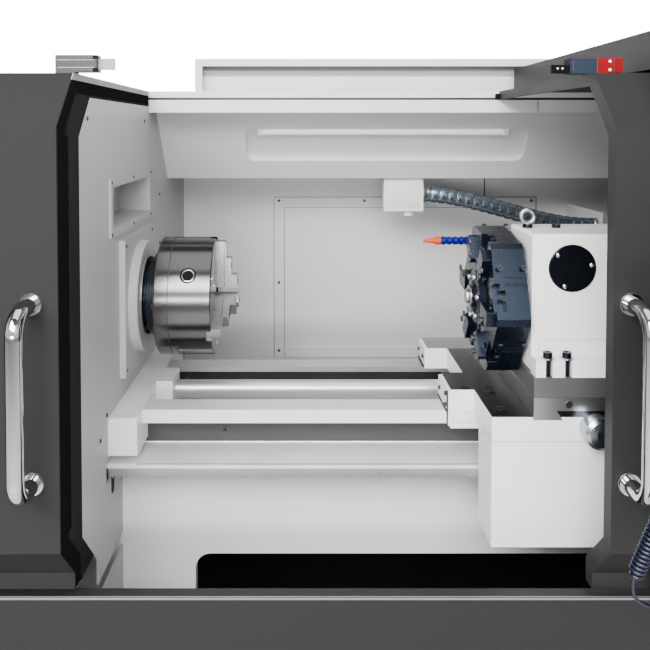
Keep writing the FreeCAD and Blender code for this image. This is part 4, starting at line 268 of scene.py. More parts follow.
@dataclass(frozen=True)
class Finish:
    """A procedural finish made of one coat and its zones."""

    name: str
    coat: Coat
    zones: Tuple[Zone, ...] = ()
    coat_weight: float = 0.0
    coat_rough: float = 0.1
    specular: float = 0.5
    glow: float = 0.0

    def make(self) -> bpy.types.Material:
        """The material, made once."""
        if self.name not in MADE:
            MADE[self.name] = self._build()
        return MADE[self.name]

    def _build(self) -> bpy.types.Material:
        """A new material with every layer."""
        tree = Tree(self.name)
        masks = [zone.mask(tree) for zone in self.zones]
        colour, *numbers = self._layer(tree, self.coat)
        for mask, zone in zip(masks, self.zones):
            over, *above = self._layer(tree, zone.coat)
            colour = tree.mix(mask, colour, over)
            numbers = [mask * new + (1.0 - mask) * old for old, new in zip(numbers, above)]
        inputs = tree.shader.inputs
        tree.feed(inputs["Base Color"], colour)
        tree.feed(inputs["Roughness"], numbers[0])
        tree.feed(inputs["Metallic"], numbers[1])
        bump = tree.node("ShaderNodeBump", {}, {"Height": numbers[2], "Distance": BUMP_DEPTH,
                                                "Strength": 1.0})
        tree.feed(inputs["Normal"], bump.outputs[0])
        inputs["Coat Weight"].default_value = self.coat_weight
        inputs["Coat Roughness"].default_value = self.coat_rough
        inputs["Specular IOR Level"].default_value = self.specular
        if self.glow:
            inputs["Emission Color"].default_value = (*self.coat.colour, 1.0)
            inputs["Emission Strength"].default_value = self.glow
        return tree.material

    @staticmethod
    def _layer(tree: Tree, coat: Coat) -> Tuple[object, Wire, float, Wire]:
        """Colour, roughness, metal and bump height of one coat."""
        cloud = tree.noise(CLOUD_SCALE, CLOUD_DETAIL, CLOUD_ROUGH)
        fine = tree.noise(coat.grain_scale, GRAIN_DETAIL, GRAIN_ROUGH, coat.lay.value)
        tone = 1.0 + (cloud - MEAN) * (coat.mottle * 2.0) + (fine - MEAN) * coat.mottle
        rough = coat.rough + (cloud - MEAN) * CLOUD_SHINE + (fine - MEAN) * GRAIN_SHINE
        return tree.shade(coat.colour, tone), rough, coat.metal, fine * coat.grain


# ------------------------------------------------------------------ finishes

DARK = Coat((0.0138, 0.0138, 0.0143), 0.52, grain=0.10, grain_scale=1400, mottle=0.05)
LIGHT = Coat((0.71, 0.71, 0.70), 0.42, grain=0.03, grain_scale=700, mottle=0.03)
# SHADED_WALL: light grey paint darkened as painted shade for the headstock wall, which faces away
# from the lamps; also used on the spindle ring and on the tray's end against the wall.
SHADED_WALL = Coat((0.42, 0.42, 0.415), 0.45, grain=0.03, grain_scale=700, mottle=0.03)
ENAMEL = Coat((0.80, 0.80, 0.79), 0.35, grain=0.04, grain_scale=500, mottle=0.03)
GROUND = Coat((0.60, 0.60, 0.59), 0.30, 1.0, 0.10, 0.02, 900, Lay.ALONG_X)
LEDGE = Coat((0.92, 0.92, 0.93), 0.42, 0.55, 0.10, 0.02, 900, Lay.ALONG_X)
SLIDE_DARK = Coat((0.20, 0.20, 0.21), 0.36, 0.8, 0.25, 0.03, 700, Lay.ALONG_X)
MACHINED_DARK = Coat((0.085, 0.085, 0.09), 0.24, 1.0, 0.25, 0.03, 700, Lay.ALONG_X)
# Painted shade: the web under the front way is painted near black for the shadow that falls under
# the way.
WEB_PAINTED_SHADE = Coat((0.035, 0.035, 0.036), 0.60, 0.2, 0.25, 0.03, 500)
TINTED = Coat((0.045, 0.055, 0.060), 0.06, mottle=0.02)
CHUCK = Coat((0.115, 0.112, 0.110), 0.20, 1.0, 0.08, 0.01, 1400)
JAW = Coat((0.42, 0.42, 0.42), 0.26, 1.0, 0.08, 0.01, 1400)
BLUED = Coat((0.0085, 0.0140, 0.0260), 0.27, 0.75, 0.45, 0.03, 500)
SEAL = Coat((0.0090, 0.0090, 0.0094), 0.80, 0.0, 0.1, 0.05, 800)
COVER_EDGE = Coat((0.0250, 0.0250, 0.0255), 0.70)
DOOR_FRONT = Coat((0.0255, 0.0255, 0.0263), 0.60, 0.0, 0.04, 0.02, 900)
# Painted shade in the roof box's recess: BOX_SHADE is the darkest band at the top, and the next
# coat is a lighter step below it.
BOX_SHADE = Coat((0.17, 0.17, 0.172), 0.6)
BOX_HALF_SHADE = Coat((0.30, 0.30, 0.305), 0.6)
STRIP_GREY = Coat((0.36, 0.36, 0.36), 0.5)
SLATE = Coat((0.014, 0.022, 0.036), 0.35, mottle=0.06, grain=0.01)
COVER_BLACK = Coat((0.020, 0.024, 0.034), 0.24, 0.9, 0.10, 0.02, 500)
BLACK_STEEL = Coat((0.016, 0.016, 0.018), 0.35, 0.3, 0.2, 0.02, 500)
BLACK_RUBBER = Coat((0.006, 0.006, 0.006), 0.70, 0.8, 0.2, 0.05, 800)
CHROME = Coat((0.56, 0.56, 0.57), 0.07, 1.0, 0.02, 0.0, 900)
STEEL = Coat((0.45, 0.45, 0.45), 0.32, 1.0, 0.12, 0.02, 900)
CAST = Coat((0.20, 0.21, 0.22), 0.6, 0.1, 0.15, 0.15, 260)
RED = Coat((0.20, 0.000, 0.002), 0.30, mottle=0.05, grain=0.01)
BLUE = Coat((0.001, 0.001, 0.14), 0.28, mottle=0.05, grain=0.01)
ORANGE = Coat((0.52, 0.050, 0.0), 0.30, mottle=0.05, grain=0.01)
NAVY = Coat((0.004, 0.006, 0.020), 0.20, mottle=0.1, grain=0.01)
YELLOW = Coat((0.80, 0.55, 0.02), 0.40, mottle=0.05, grain=0.01)
KEY_ZINC = Coat((0.042, 0.042, 0.044), 0.45, 0.5, 0.10, 0.03, 900, Lay.ALONG_X)

POWDER_SHEEN = 0.22
BOX_HOLLOW: Span = (0.3065, 0.3365)


def powder(name: str, *zones: Zone) -> Finish:
    """Dull dark powder coat, with zones of other coats."""
    return Finish(name, DARK, zones, specular=POWDER_SHEEN)


FINISHES: Dict[str, Finish] = {
    "base_cabinet": powder("powder_coat_base"),
    "levelling_feet": Finish("zinc_feet", STEEL),
    "chip_tray": Finish("black_tray", BLACK_STEEL, (Zone(SHADED_WALL, x=(None, -0.4795)),)),
    "coolant_tank": Finish("black_tank", BLACK_STEEL),
    "bed": Finish("bed_enamel", ENAMEL, (
        Zone(LEDGE, y=(deep(-0.1895), deep(-0.1315)), z=(0.9115, None)),
        Zone(GROUND, y=(deep(0.0735), deep(0.1285)), z=(0.904, None)),
        Zone(LEDGE, y=(deep(-0.2395), deep(-0.139)), z=(0.846, 0.857)),
        # Painted shade on the web under the front way.
        Zone(WEB_PAINTED_SHADE, y=(deep(-0.1450), deep(-0.1100)), z=(0.8565, 0.9045)),
        Zone(MACHINED_DARK, y=(deep(0.0730), deep(0.0750)), z=(0.9035, 0.9270)),
        Zone(ENAMEL, x=(-0.4825, -0.4275), z=(0.865, None)),
    )),
    "gear_rack": Finish("rack_steel", GROUND),
    "left_cover": Finish("powder_coat_cover", DOOR_FRONT, (
        Zone(COVER_EDGE, x=(DOOR_EDGE_X, None)),
    ), specular=0.0),
    # The headstock wall takes the darkened grey: painted shade.
    "headstock_wall": Finish("wall_paint_painted_shade", SHADED_WALL),
    "roof_panel": Finish("roof_paint", LIGHT, (
        # Painted shadow at the top of the roof box's recess, in two steps of grey.
        Zone(BOX_HALF_SHADE, y=BOX_HOLLOW, z=(1.6190, 1.6600)),
        Zone(BOX_SHADE, y=BOX_HOLLOW, z=(1.6335, 1.6600)),
        Zone(BLACK_STEEL, y=(None, deep(0.1585)), z=(1.5475, 1.5530)),
    )),
    "back_wall": Finish("back_paint", LIGHT),
    "lamp_beam": Finish("beam_paint", LIGHT),
    "lamp_tube": Finish("lamp_glow", Coat((0.95, 0.96, 0.97), 0.25, mottle=0.01), glow=0.25),
    "right_hood": powder("powder_coat_hood", Zone(
        LIGHT, x=(0.4395, 1.1165), y=(deep(0.40), deep(0.6815)), z=(0.741, 1.5435))),
    "spindle_ring": Finish("ring_paint", SHADED_WALL),
    "headstock": Finish("headstock_casting", CAST),
    "spindle_bearings": Finish("bearing_steel", STEEL),
    "spindle_motor": Finish("motor_enamel", Coat((0.08, 0.09, 0.10), 0.45, grain=0.05)),
    "drive_belt": Finish("belt_rubber", BLACK_RUBBER),
    "feed_drive": Finish("feed_casting", CAST, (Zone(ENAMEL, x=(None, -0.38)),)),
    "cable_box": Finish("cable_box_paint", LIGHT),
    "metal_conduit": Finish("conduit_metal", Coat((0.30, 0.37, 0.44), 0.26, 0.9, 0.20)),
    "control_box": Finish("control_paint", Coat((0.075, 0.076, 0.080), 0.45, grain=0.06)),
    "hand_pendant": Finish("pendant_plastic", BLACK_RUBBER),
    "cabinet_case": Finish("cabinet_paint", LIGHT),
    "cabinet_door": powder("cabinet_door_paint"),
    "left_door_panel": Finish("powder_coat_left", DOOR_FRONT, (
        Zone(SEAL, x=(DOOR_EDGE_X, None)),
        Zone(STRIP_GREY, x=(DOOR_EDGE_X, None), z=(1.5570, None)),
    ), specular=0.0),
    "left_door_seal": Finish("seal_rubber", SEAL, specular=0.0),
    "interlock_key": Finish("key_zinc", KEY_ZINC, (
        Zone(Coat((0.30, 0.30, 0.30), 0.4), x=(-0.4470, None)),
    )),
    "right_door_panel": powder("powder_coat_right"),
    "interlock_switch": Finish("switch_plastic", RED, (
        Zone(SLATE, x=(None, 0.3648)),
        Zone(BLACK_RUBBER, x=(None, 0.3212)),
    ), specular=0.15),
    "spindle_shaft": Finish("spindle_steel", STEEL),
    "chuck_adapter": Finish("adapter_steel", BLUED, (Zone(CHUCK, x=(-0.4202, None)),)),
    "chuck_body": Finish("chuck_steel", CHUCK),
    "scroll_plate": Finish("scroll_steel", STEEL),
    "motor_pulley": Finish("pulley_iron", CAST),
    "lead_screw": Finish("screw_steel", Coat((0.62, 0.63, 0.65), 0.38, 0.75, 0.05, 0.01)),
    "saddle": Finish("saddle_enamel", ENAMEL, (
        Zone(MACHINED_DARK, z=(0.9835, None)),
        Zone(GROUND, y=(deep(0.060), None), z=(0.9835, None)),
    )),
    "carriage_apron": Finish("apron_enamel", ENAMEL),
    "cross_screw_cap": Finish("cap_steel", Coat((0.42, 0.46, 0.52), 0.24, 1.0, 0.10)),
    "cross_slide": Finish("slide_steel", GROUND, (Zone(SLIDE_DARK, z=(1.018, None)),)),
    "turret_housing": Finish("housing_enamel", ENAMEL),
    "housing_fittings": Finish("fittings_black", COVER_BLACK, (Zone(STEEL, z=(1.3035, None)),)),
    "coolant_nozzle": Finish("nozzle_plastic", BLUE, (
        Zone(ORANGE, x=(None, 0.1675)),
        Zone(STEEL, x=(0.253, None)),
    ), specular=0.25),
    "turret_disc": Finish("turret_steel", BLUED),
    "turret_hub": Finish("hub_steel", BLUED),
    "stop_button": Finish("stop_red", RED, specular=0.3),
    "feed_knob": Finish("knob_black", BLACK_RUBBER),
    "pendant_wheel": Finish("wheel_black", BLACK_RUBBER),
}
for i in (1, 2, 3):
    FINISHES[f"pinion_{i}"] = Finish("pinion_mouth", BLACK_RUBBER)
    FINISHES[f"jaw_{i}"] = Finish("jaw_steel", JAW)
for side in ("left", "right"):
    FINISHES[f"{side}_door_window"] = Finish("window_glass", TINTED, coat_weight=0.6,
                                             coat_rough=0.03)
    FINISHES[f"{side}_handle"] = Finish("handle_chrome", CHROME)
for end in ("cord", "tail"):
    FINISHES[f"pendant_{end}"] = Finish("cord_jacket", NAVY)

FINE: Dict[str, Finish] = {
    "screws": Finish("small_screws", Coat((0.10, 0.10, 0.11), 0.30, 0.8, 0.10)),
    "bright": Finish("bright_screws", Coat((0.60, 0.60, 0.60), 0.25, 1.0, 0.05)),
    "black": Finish("black_fittings", BLACK_STEEL),
    "rubber": Finish("rubber_trim", BLACK_RUBBER),
    "seal": Finish("seal_strip", SEAL, specular=0.0),
    "line": Finish("joint_line", Coat((0.030, 0.030, 0.032), 0.6, 0.0, 0.05)),
    "grey_line": Finish("scribed_line", Coat((0.35, 0.35, 0.35), 0.5, 0.0, 0.05)),
    "steel": Finish("bright_steel", STEEL),
    "glass": Finish("screen_glass", Coat((0.010, 0.012, 0.014), 0.05, 0.0, 0.02),
                    coat_weight=0.4, coat_rough=0.03),
    "key": Finish("key_caps", Coat((0.30, 0.31, 0.32), 0.45, 0.0, 0.05, 0.02)),
    "green": Finish("green_cap", Coat((0.02, 0.35, 0.06), 0.35, 0.0, 0.05)),
    "yellow": Finish("yellow_collar", YELLOW),
    "red": Finish("red_cap", RED),
    "dark": powder("dark_panels"),
    "light": Finish("light_panels", LIGHT),
    # Painted highlight: lighter grey for the base's rounded front fold, where the edge catches
    # light.
    "fold": Finish("fold_painted_highlight", Coat((0.16, 0.16, 0.165), 0.35)),
    "dots": Finish("white_dots", Coat((0.85, 0.85, 0.85), 0.4)),
    "rims": Finish("socket_rims", Coat((0.62, 0.61, 0.60), 0.16, 1.0, 0.08, 0.01, 1400)),
    "ribs": Finish("turret_ribs", BLUED),
    "marks": Finish("screen_marks", Coat((0.03, 0.16, 0.20), 0.4)),
    "ticks": Finish("white_marks", Coat((0.8, 0.8, 0.8), 0.5)),
}


# ------------------------------------------------------------------ shapes

SAME_SPOT = 1e-6
SMOOTH_BELOW = math.radians(35.0)


class Shape:
    """A bmesh that grows piece by piece from operators."""

    def __init__(self) -> None:
        """Start empty."""
        self.mesh = bmesh.new()

    def add(self, part: "Shape", matrix: Matrix = Matrix()) -> "Shape":
        """Take in another shape, moved by a matrix."""
        bmesh.ops.transform(part.mesh, matrix=matrix, verts=part.mesh.verts)
        carrier = bpy.data.meshes.new("carrier")
        part.mesh.to_mesh(carrier)
        self.mesh.from_mesh(carrier)
        bpy.data.meshes.remove(carrier)
        return self

    def copy_of(self) -> "Shape":
        """The same shape again."""
        made = Shape()
        made.mesh = self.mesh.copy()
        return made

    def face_out(self) -> "Shape":
        """Turn every face outwards."""
        bmesh.ops.recalc_face_normals(self.mesh, faces=self.mesh.faces)
        return self

    def weld(self) -> "Shape":
        """Merge vertices that share a spot and turn every face outwards."""
        bmesh.ops.remove_doubles(self.mesh, verts=self.mesh.verts, dist=SAME_SPOT)
        return self.face_out()

    def bridge(self, loops: Sequence[Sequence[bmesh.types.BMEdge]]) -> None:
        """Skin the gaps between each loop of edges and the next."""
        for lower, upper in zip(loops, loops[1:]):
            bmesh.ops.bridge_loops(self.mesh, edges=[*lower, *upper])

    def spin(self, geometry: Sequence[object], steps: int) -> "Shape":
        """Spin vertices and edges once about the Z axis."""
        bmesh.ops.spin(self.mesh, geom=geometry, cent=(0, 0, 0), axis=(0, 0, 1), dvec=(0, 0, 0),
                       angle=math.tau, steps=steps, use_merge=True, use_duplicate=False)
        return self.weld()

    def round_edges(self, width: float, segments: int = 2, sharper: float = 30.0) -> "Shape":
        """Bevel every edge that is sharper than an angle in degrees."""
        limit = math.radians(sharper)
        edges = [e for e in self.mesh.edges
                 if len(e.link_faces) == 2 and e.calc_face_angle(0.0) > limit]
        bmesh.ops.bevel(self.mesh, geom=edges, offset=width, segments=segments, profile=0.5,
                        affect="EDGES", material=-1, clamp_overlap=True)
        return self

    def piece(self, name: str, body: str, finish: Finish, slot: str = "") -> bpy.types.Object:
        """Close the shape and make it a piece that rides on a body.

        Args:
            name: the piece's name.
            body: the CAD body it rides on.
            finish: its finish.
            slot: the record's material slot, if it takes one; not used.

        Returns:
            The object.
        """
        self.weld()
        for face in self.mesh.faces:
            face.smooth = True
        for edge in self.mesh.edges:
            edge.smooth = len(edge.link_faces) == 2 and edge.calc_face_angle(0.0) < SMOOTH_BELOW
        data = bpy.data.meshes.new(name)
        self.mesh.to_mesh(data)
        self.mesh.free()
        made = bpy.data.objects.new(name, data)
        bpy.context.scene.collection.objects.link(made)
        data.materials.append(finish.make())
        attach(made, body)
        log.info("%s: %d faces", name, len(data.polygons))
        return made


def block(low: Point, high: Point, bevel: float = 0.0) -> Shape:
    """A block between two corners, its edges rounded."""
    made = Shape()
    bmesh.ops.create_cube(made.mesh, size=1.0)
    low_v, high_v = Vector(low), Vector(high)
    bmesh.ops.scale(made.mesh, vec=high_v - low_v, verts=made.mesh.verts)
    bmesh.ops.translate(made.mesh, vec=(low_v + high_v) / 2, verts=made.mesh.verts)
    if bevel:
        made.round_edges(bevel)
    return made


def lathe(profile: Profile, steps: int = 40) -> Shape:
    """Turn (height, radius) points about the Z axis."""
    made = Shape()
    verts = [made.mesh.verts.new((radius, 0.0, height)) for height, radius in profile]
    edges = [made.mesh.edges.new(pair) for pair in zip(verts, verts[1:])]
    return made.spin(verts + edges, steps)


def closed(*profile: Tuple[float, float], steps: int) -> Shape:
    """Turn a closed loop of (height, radius) points about the Z axis."""
    return lathe([*profile, profile[0]], steps)


def torus(radius: float, wire: float, steps: int = 28) -> Shape:
    """Ring of round section about the Z axis."""
    made = Shape()
    upright = Matrix.Translation((radius, 0, 0)) @ Matrix.Rotation(math.pi / 2, 4, "X")
    ring = bmesh.ops.create_circle(made.mesh, cap_ends=False, segments=12, radius=wire,
                                   matrix=upright)["verts"]
    return made.spin(ring + list({e for v in ring for e in v.link_edges}), steps)


def standing(place: Point, normal: Point) -> Matrix:
    """Matrix that stands a shape built along +Z at a place, along a normal."""
    lean = Vector((0, 0, 1)).rotation_difference(Vector(normal)).to_matrix().to_4x4()
    return Matrix.Translation(Vector(place)) @ lean


def outline(points: Sequence[Point], along: Point) -> Shape:
    """A flat face through points, drawn out along a vector."""
    made = Shape()
    face = made.mesh.faces.new([made.mesh.verts.new(p) for p in points])
    drawn = bmesh.ops.extrude_face_region(made.mesh, geom=[face])
    moved = [v for v in drawn["geom"] if isinstance(v, bmesh.types.BMVert)]
    bmesh.ops.translate(made.mesh, vec=Vector(along), verts=moved)
    return made.face_out()


def socket_head(radius: float, height: float) -> Shape:
    """Cap screw head with its hexagonal socket, standing on the origin."""
    made = Shape()
    socket = radius * 0.56
    rims = []
    for r, z, count in ((radius, 0.0, 24), (radius, height * 0.88, 24),
                        (radius * 0.93, height, 24), (socket, height, 6),
                        (socket * 0.98, height * 0.45, 6)):
        ring = bmesh.ops.create_circle(made.mesh, cap_ends=False, segments=count, radius=r)["verts"]
        bmesh.ops.translate(made.mesh, vec=(0, 0, z), verts=ring)
        rims.append(list({e for v in ring for e in v.link_edges}))
    made.bridge(rims)
    bmesh.ops.holes_fill(made.mesh, edges=made.mesh.edges, sides=0)
    return made


def pan_head(radius: float, height: float) -> Shape:
    """Domed screw head with a round recess, standing on the origin."""
    return lathe([(0.0, radius), (height * 0.35, radius), (height * 0.8, radius * 0.75),
                  (height, radius * 0.35), (height, radius * 0.18), (height * 0.5, 0.0)], 16)


def hexagon_head(radius: float, height: float) -> Shape:
    """Hexagon bolt head with chamfered edges on a thin washer."""
    made = Shape()
    ring = bmesh.ops.create_cone(made.mesh, cap_ends=True, segments=6, radius1=radius,
                                 radius2=radius, depth=height)["verts"]
    bmesh.ops.translate(made.mesh, vec=(0, 0, height / 2 + radius * 0.18), verts=ring)
    made.round_edges(height * 0.12, 1, 50.0)
    return made.add(lathe([(0.0, 0.0), (0.0, radius * 1.45), (radius * 0.16, radius * 1.45),
                           (radius * 0.2, 0.0)], 20))


def rounded_corners(width: float, height: float, radius: float,
                    steps: int) -> List[Tuple[float, float]]:
    """Corner points of a rounded rectangle about the origin, counter-clockwise."""
    points = []
    for turn, (su, sv) in enumerate(((1, 1), (-1, 1), (-1, -1), (1, -1))):
        u, v = su * (width / 2 - radius), sv * (height / 2 - radius)
        for i in range(steps + 1):
            angle = math.pi / 2 * (turn + i / steps)
            points.append((u + radius * math.cos(angle), v + radius * math.sin(angle)))
    return points


def plate(width: float, height: float, thick: float, radius: float = 0.004,
          bevel: float = 0.0008) -> Shape:
    """Flat plate with rounded corners and a soft front edge, standing on the origin."""
    radius = min(radius, width / 2.01, height / 2.01)
    made = outline([(u, v, 0.0) for u, v in rounded_corners(width, height, radius, 3)],
                   (0, 0, thick))
    if bevel:
        rim = [e for e in made.mesh.edges if all(v.co.z > thick * 0.99 for v in e.verts)]
        bmesh.ops.bevel(made.mesh, geom=rim, offset=min(bevel, thick * 0.6), segments=2,
                        profile=0.5, affect="EDGES", material=-1)
    return made


def gasket(width: float, height: float, radius: float, border: float, thick: float) -> Shape:
    """Closed strip round a rounded rectangle, with a crowned section, standing on the origin."""
    made = Shape()
    rims = []
    for inset, level in ((0.0, 0.0), (0.0, thick * 0.6), (border * 0.25, thick),
                         (border * 0.75, thick), (border, thick * 0.6), (border, 0.0)):
        corners = rounded_corners(width - 2 * inset, height - 2 * inset,
                                  max(radius - inset, 0.0015), 5)
        verts = [made.mesh.verts.new((u, v, level)) for u, v in corners]
        rims.append([made.mesh.edges.new(pair) for pair in zip(verts, verts[1:] + verts[:1])])
    made.bridge(rims + rims[:1])
    return made


def louvre(width: float, height: float, reach: float) -> Shape:
    """One pressed louvre, open at its lower edge, standing on the origin."""
    half, sheet = width / 2, 0.0012
    crown = [(height, 0.0), (height * 0.45, reach * 0.62), (0.0, reach)]
    lining = [(0.0, reach - sheet), (height * 0.4, reach * 0.4), (height * 0.7, 0.0)]
    made = outline([(-half, *point) for point in crown + lining], (width, 0, 0))
    for x, inwards in ((-half, sheet), (half, -sheet)):
        made.add(outline([(x, *point) for point in crown + [(0.0, 0.0)]], (inwards, 0, 0)))
    return made


class Side(Enum):
    """Side that a flat detail faces; its own Z then points outwards and its Y up."""

    FRONT = ((1, 0, 0), (0, 0, -1), (0, 1, 0))
    BACK = ((-1, 0, 0), (0, 0, 1), (0, 1, 0))
    RIGHT = ((0, 0, 1), (1, 0, 0), (0, 1, 0))
    LEFT = ((0, 0, -1), (-1, 0, 0), (0, 1, 0))
    TOP = ((1, 0, 0), (0, 1, 0), (0, 0, 1))

    def turned(self) -> Matrix:
        """Matrix that turns a detail to this side."""
        return Matrix(self.value).to_4x4()

    def at(self, x: float, y: float, z: float) -> Matrix:
        """Matrix that puts a detail on this side at a place."""
        return Matrix.Translation(Vector((x, y, z))) @ self.turned()


def fit(name: str, shape: Shape, look: str, slot: str, body: str = "machine") -> None:
    """Make a shape a piece in one of the finishes of the fine parts."""
    shape.piece(name, body, FINE[look], slot)


def fix(name: str, head: Shape, side: Side, places: Iterable[Point], look: str = "screws",
        slot: str = "black_steel", body: str = "machine") -> None:
    """Copies of one shape at several places of a side, as one piece.

    Args:
        name: the piece's name.
        head: the shape, standing on the origin.
        side: the side that it faces.
        places: where its foot goes.
        look: its finish among those of the fine parts.
        slot: the record's material slot; not used.
        body: the CAD body it rides on.
    """
    made = Shape()
    for place in places:
        made.add(head.copy_of(), side.at(*place))
    fit(name, made, look, slot, body)


def bars(name: str, boxes: Iterable[Tuple[Point, Point]], look: str, slot: str,
         body: str = "machine", bevel: float = 0.0) -> None:
    """Blocks between pairs of corners, as one piece.

    Args:
        name: the piece's name.
        boxes: the low and the high corner of each block.
        look: its finish among those of the fine parts.
        slot: the record's material slot; not used.
        body: the CAD body it rides on.
        bevel: width of the rounded edges.
    """
    made = Shape()
    for low, high in boxes:
        made.add(block(low, high, bevel))
    fit(name, made, look, slot, body)


def wreath(head: Shape, centre: Matrix, count: int) -> Shape:
    """Copies of a shape turned about a centre in equal steps."""
    made = Shape()
    for i in range(count):
        made.add(head.copy_of(), centre @ Matrix.Rotation(math.tau * i / count, 4, "Z"))
    return made


# ------------------------------------------------------------------ studio

@dataclass(frozen=True)
class Lamp:
    """One soft rectangular lamp: where it hangs, what it faces, its size and its watts."""

    name: str
    place: Point
    aim: Point
    size: Tuple[float, float]
    power: float

    def hang(self) -> None:
        """Put the lamp into the scene."""
        data = bpy.data.lights.new(self.name, "AREA")
        data.shape = "RECTANGLE"
        data.size, data.size_y = self.size
        data.energy = self.power
        lamp = bpy.data.objects.new(self.name, data)
        lamp.location = self.place
        lamp.rotation_mode = "QUATERNION"
        lamp.rotation_quaternion = (Vector(self.aim) - Vector(self.place)).to_track_quat("-Z", "Y")
        bpy.context.scene.collection.objects.link(lamp)


@dataclass
class Studio:
    """Camera, lights, sky and floor."""

    eye: Point = (-0.1188, -1.6869, 1.4783)
    focal: float = 41.93
    film: float = 36.0
    tilt: float = 1.82
    shift: Tuple[float, float] = (0.0346, -0.264)
    sight: Tuple[float, float] = (0.02, 60.0)
    white: float = 20.0
    room_light: float = 1.1
    room: Tuple[Tuple[float, Colour], ...] = (
        (0.0, (0.06, 0.065, 0.08)), (0.425, (0.25, 0.27, 0.32)), (0.485, (0.90, 0.92, 0.95)),
        (0.65, (1.0, 1.0, 1.0)), (0.725, (0.42, 0.38, 0.34)), (0.90, (0.16, 0.145, 0.13)),
        (1.0, (0.12, 0.11, 0.11)))
    floor_size: float = 9.0
    lamps: Tuple[Lamp, ...] = (
        Lamp("front_left", (-1.7, -2.9, 3.2), (-0.1, 0.0, 1.1), (2.0, 1.6), 190.0),
        Lamp("front_right", (2.2, -3.4, 2.8), (0.0, 0.0, 1.1), (2.0, 2.0), 15.0),
        Lamp("front_fill", (-0.1, -2.8, 2.5), (0.0, 0.0, 1.0), (1.8, 0.9), 95.0),
        Lamp("right_side", (3.6, 0.8, 2.2), (1.1, 0.2, 0.9), (2.0, 1.6), 75.0),
        Lamp("left_side", (-3.6, 0.8, 2.2), (-1.1, 0.2, 0.9), (2.0, 1.6), 45.0),
        Lamp("front_low", (-0.5, -3.0, 1.25), (-0.2, 0.0, 1.0), (1.6, 0.28), 42.0),
        Lamp("overhead", (0.0, -0.6, 4.2), (0.0, 0.0, 1.0), (3.5, 2.5), 60.0),
        Lamp("back", (0.4, 4.2, 3.2), (0.0, 0.0, 1.0), (3.0, 2.0), 120.0),
    )

    def camera(self) -> None:
        """Camera of the photograph's view."""
        data = bpy.data.cameras.new("camera")
        data.sensor_width = self.film
        data.lens = self.focal
        data.shift_x, data.shift_y = self.shift
        data.clip_start, data.clip_end = self.sight
        eye = bpy.data.objects.new("camera", data)
        eye.location = self.eye
        eye.rotation_euler = (math.radians(90.0 - self.tilt), 0.0, 0.0)
        bpy.context.scene.collection.objects.link(eye)
        bpy.context.scene.camera = eye

    def sky(self) -> None:
        """White for the camera, and for the object a room of pale walls with a dim ceiling."""
        world = bpy.data.worlds.new("sky")
        bpy.context.scene.world = world
        world.use_nodes = True
        nodes, links = world.node_tree.nodes, world.node_tree.links
        back = nodes["Background"]
        back.inputs["Strength"].default_value = self.room_light
        place = nodes.new("ShaderNodeTexCoord")
        split = nodes.new("ShaderNodeSeparateXYZ")
        links.new(place.outputs["Generated"], split.inputs["Vector"])
        half = nodes.new("ShaderNodeMath")
        half.operation = "MULTIPLY_ADD"
        half.inputs[1].default_value = MEAN
        half.inputs[2].default_value = MEAN
        links.new(split.outputs["Z"], half.inputs[0])
        ramp = nodes.new("ShaderNodeValToRGB")
        stops = ramp.color_ramp.elements
        for i, (height, colour) in enumerate(self.room):
            stop = stops[i] if i < 2 else stops.new(height)
            stop.position = height
            stop.color = (*colour, 1.0)
        links.new(half.outputs[0], ramp.inputs["Fac"])
        links.new(ramp.outputs["Color"], back.inputs["Color"])
        white = nodes.new("ShaderNodeBackground")
        white.inputs["Strength"].default_value = self.white
        seen = nodes.new("ShaderNodeLightPath")
        mix = nodes.new("ShaderNodeMixShader")
        links.new(seen.outputs["Is Camera Ray"], mix.inputs["Fac"])
        links.new(back.outputs["Background"], mix.inputs[1])
        links.new(white.outputs["Background"], mix.inputs[2])
        links.new(mix.outputs["Shader"], nodes["World Output"].inputs["Surface"])

    def floor(self) -> None:
        """Pale floor."""
        floor = Shape()
        bmesh.ops.create_grid(floor.mesh, x_segments=1, y_segments=1, size=self.floor_size)
        made = floor.piece("floor", next(iter(frame["bodies"])),
                           Finish("floor_paint", Coat((0.72, 0.72, 0.71), 0.7, mottle=0.02)))

    def build(self) -> None:
        """All of it."""
        self.camera()
        self.sky()
        self.floor()
        for lamp in self.lamps:
            lamp.hang()


# ------------------------------------------------------------------ cords

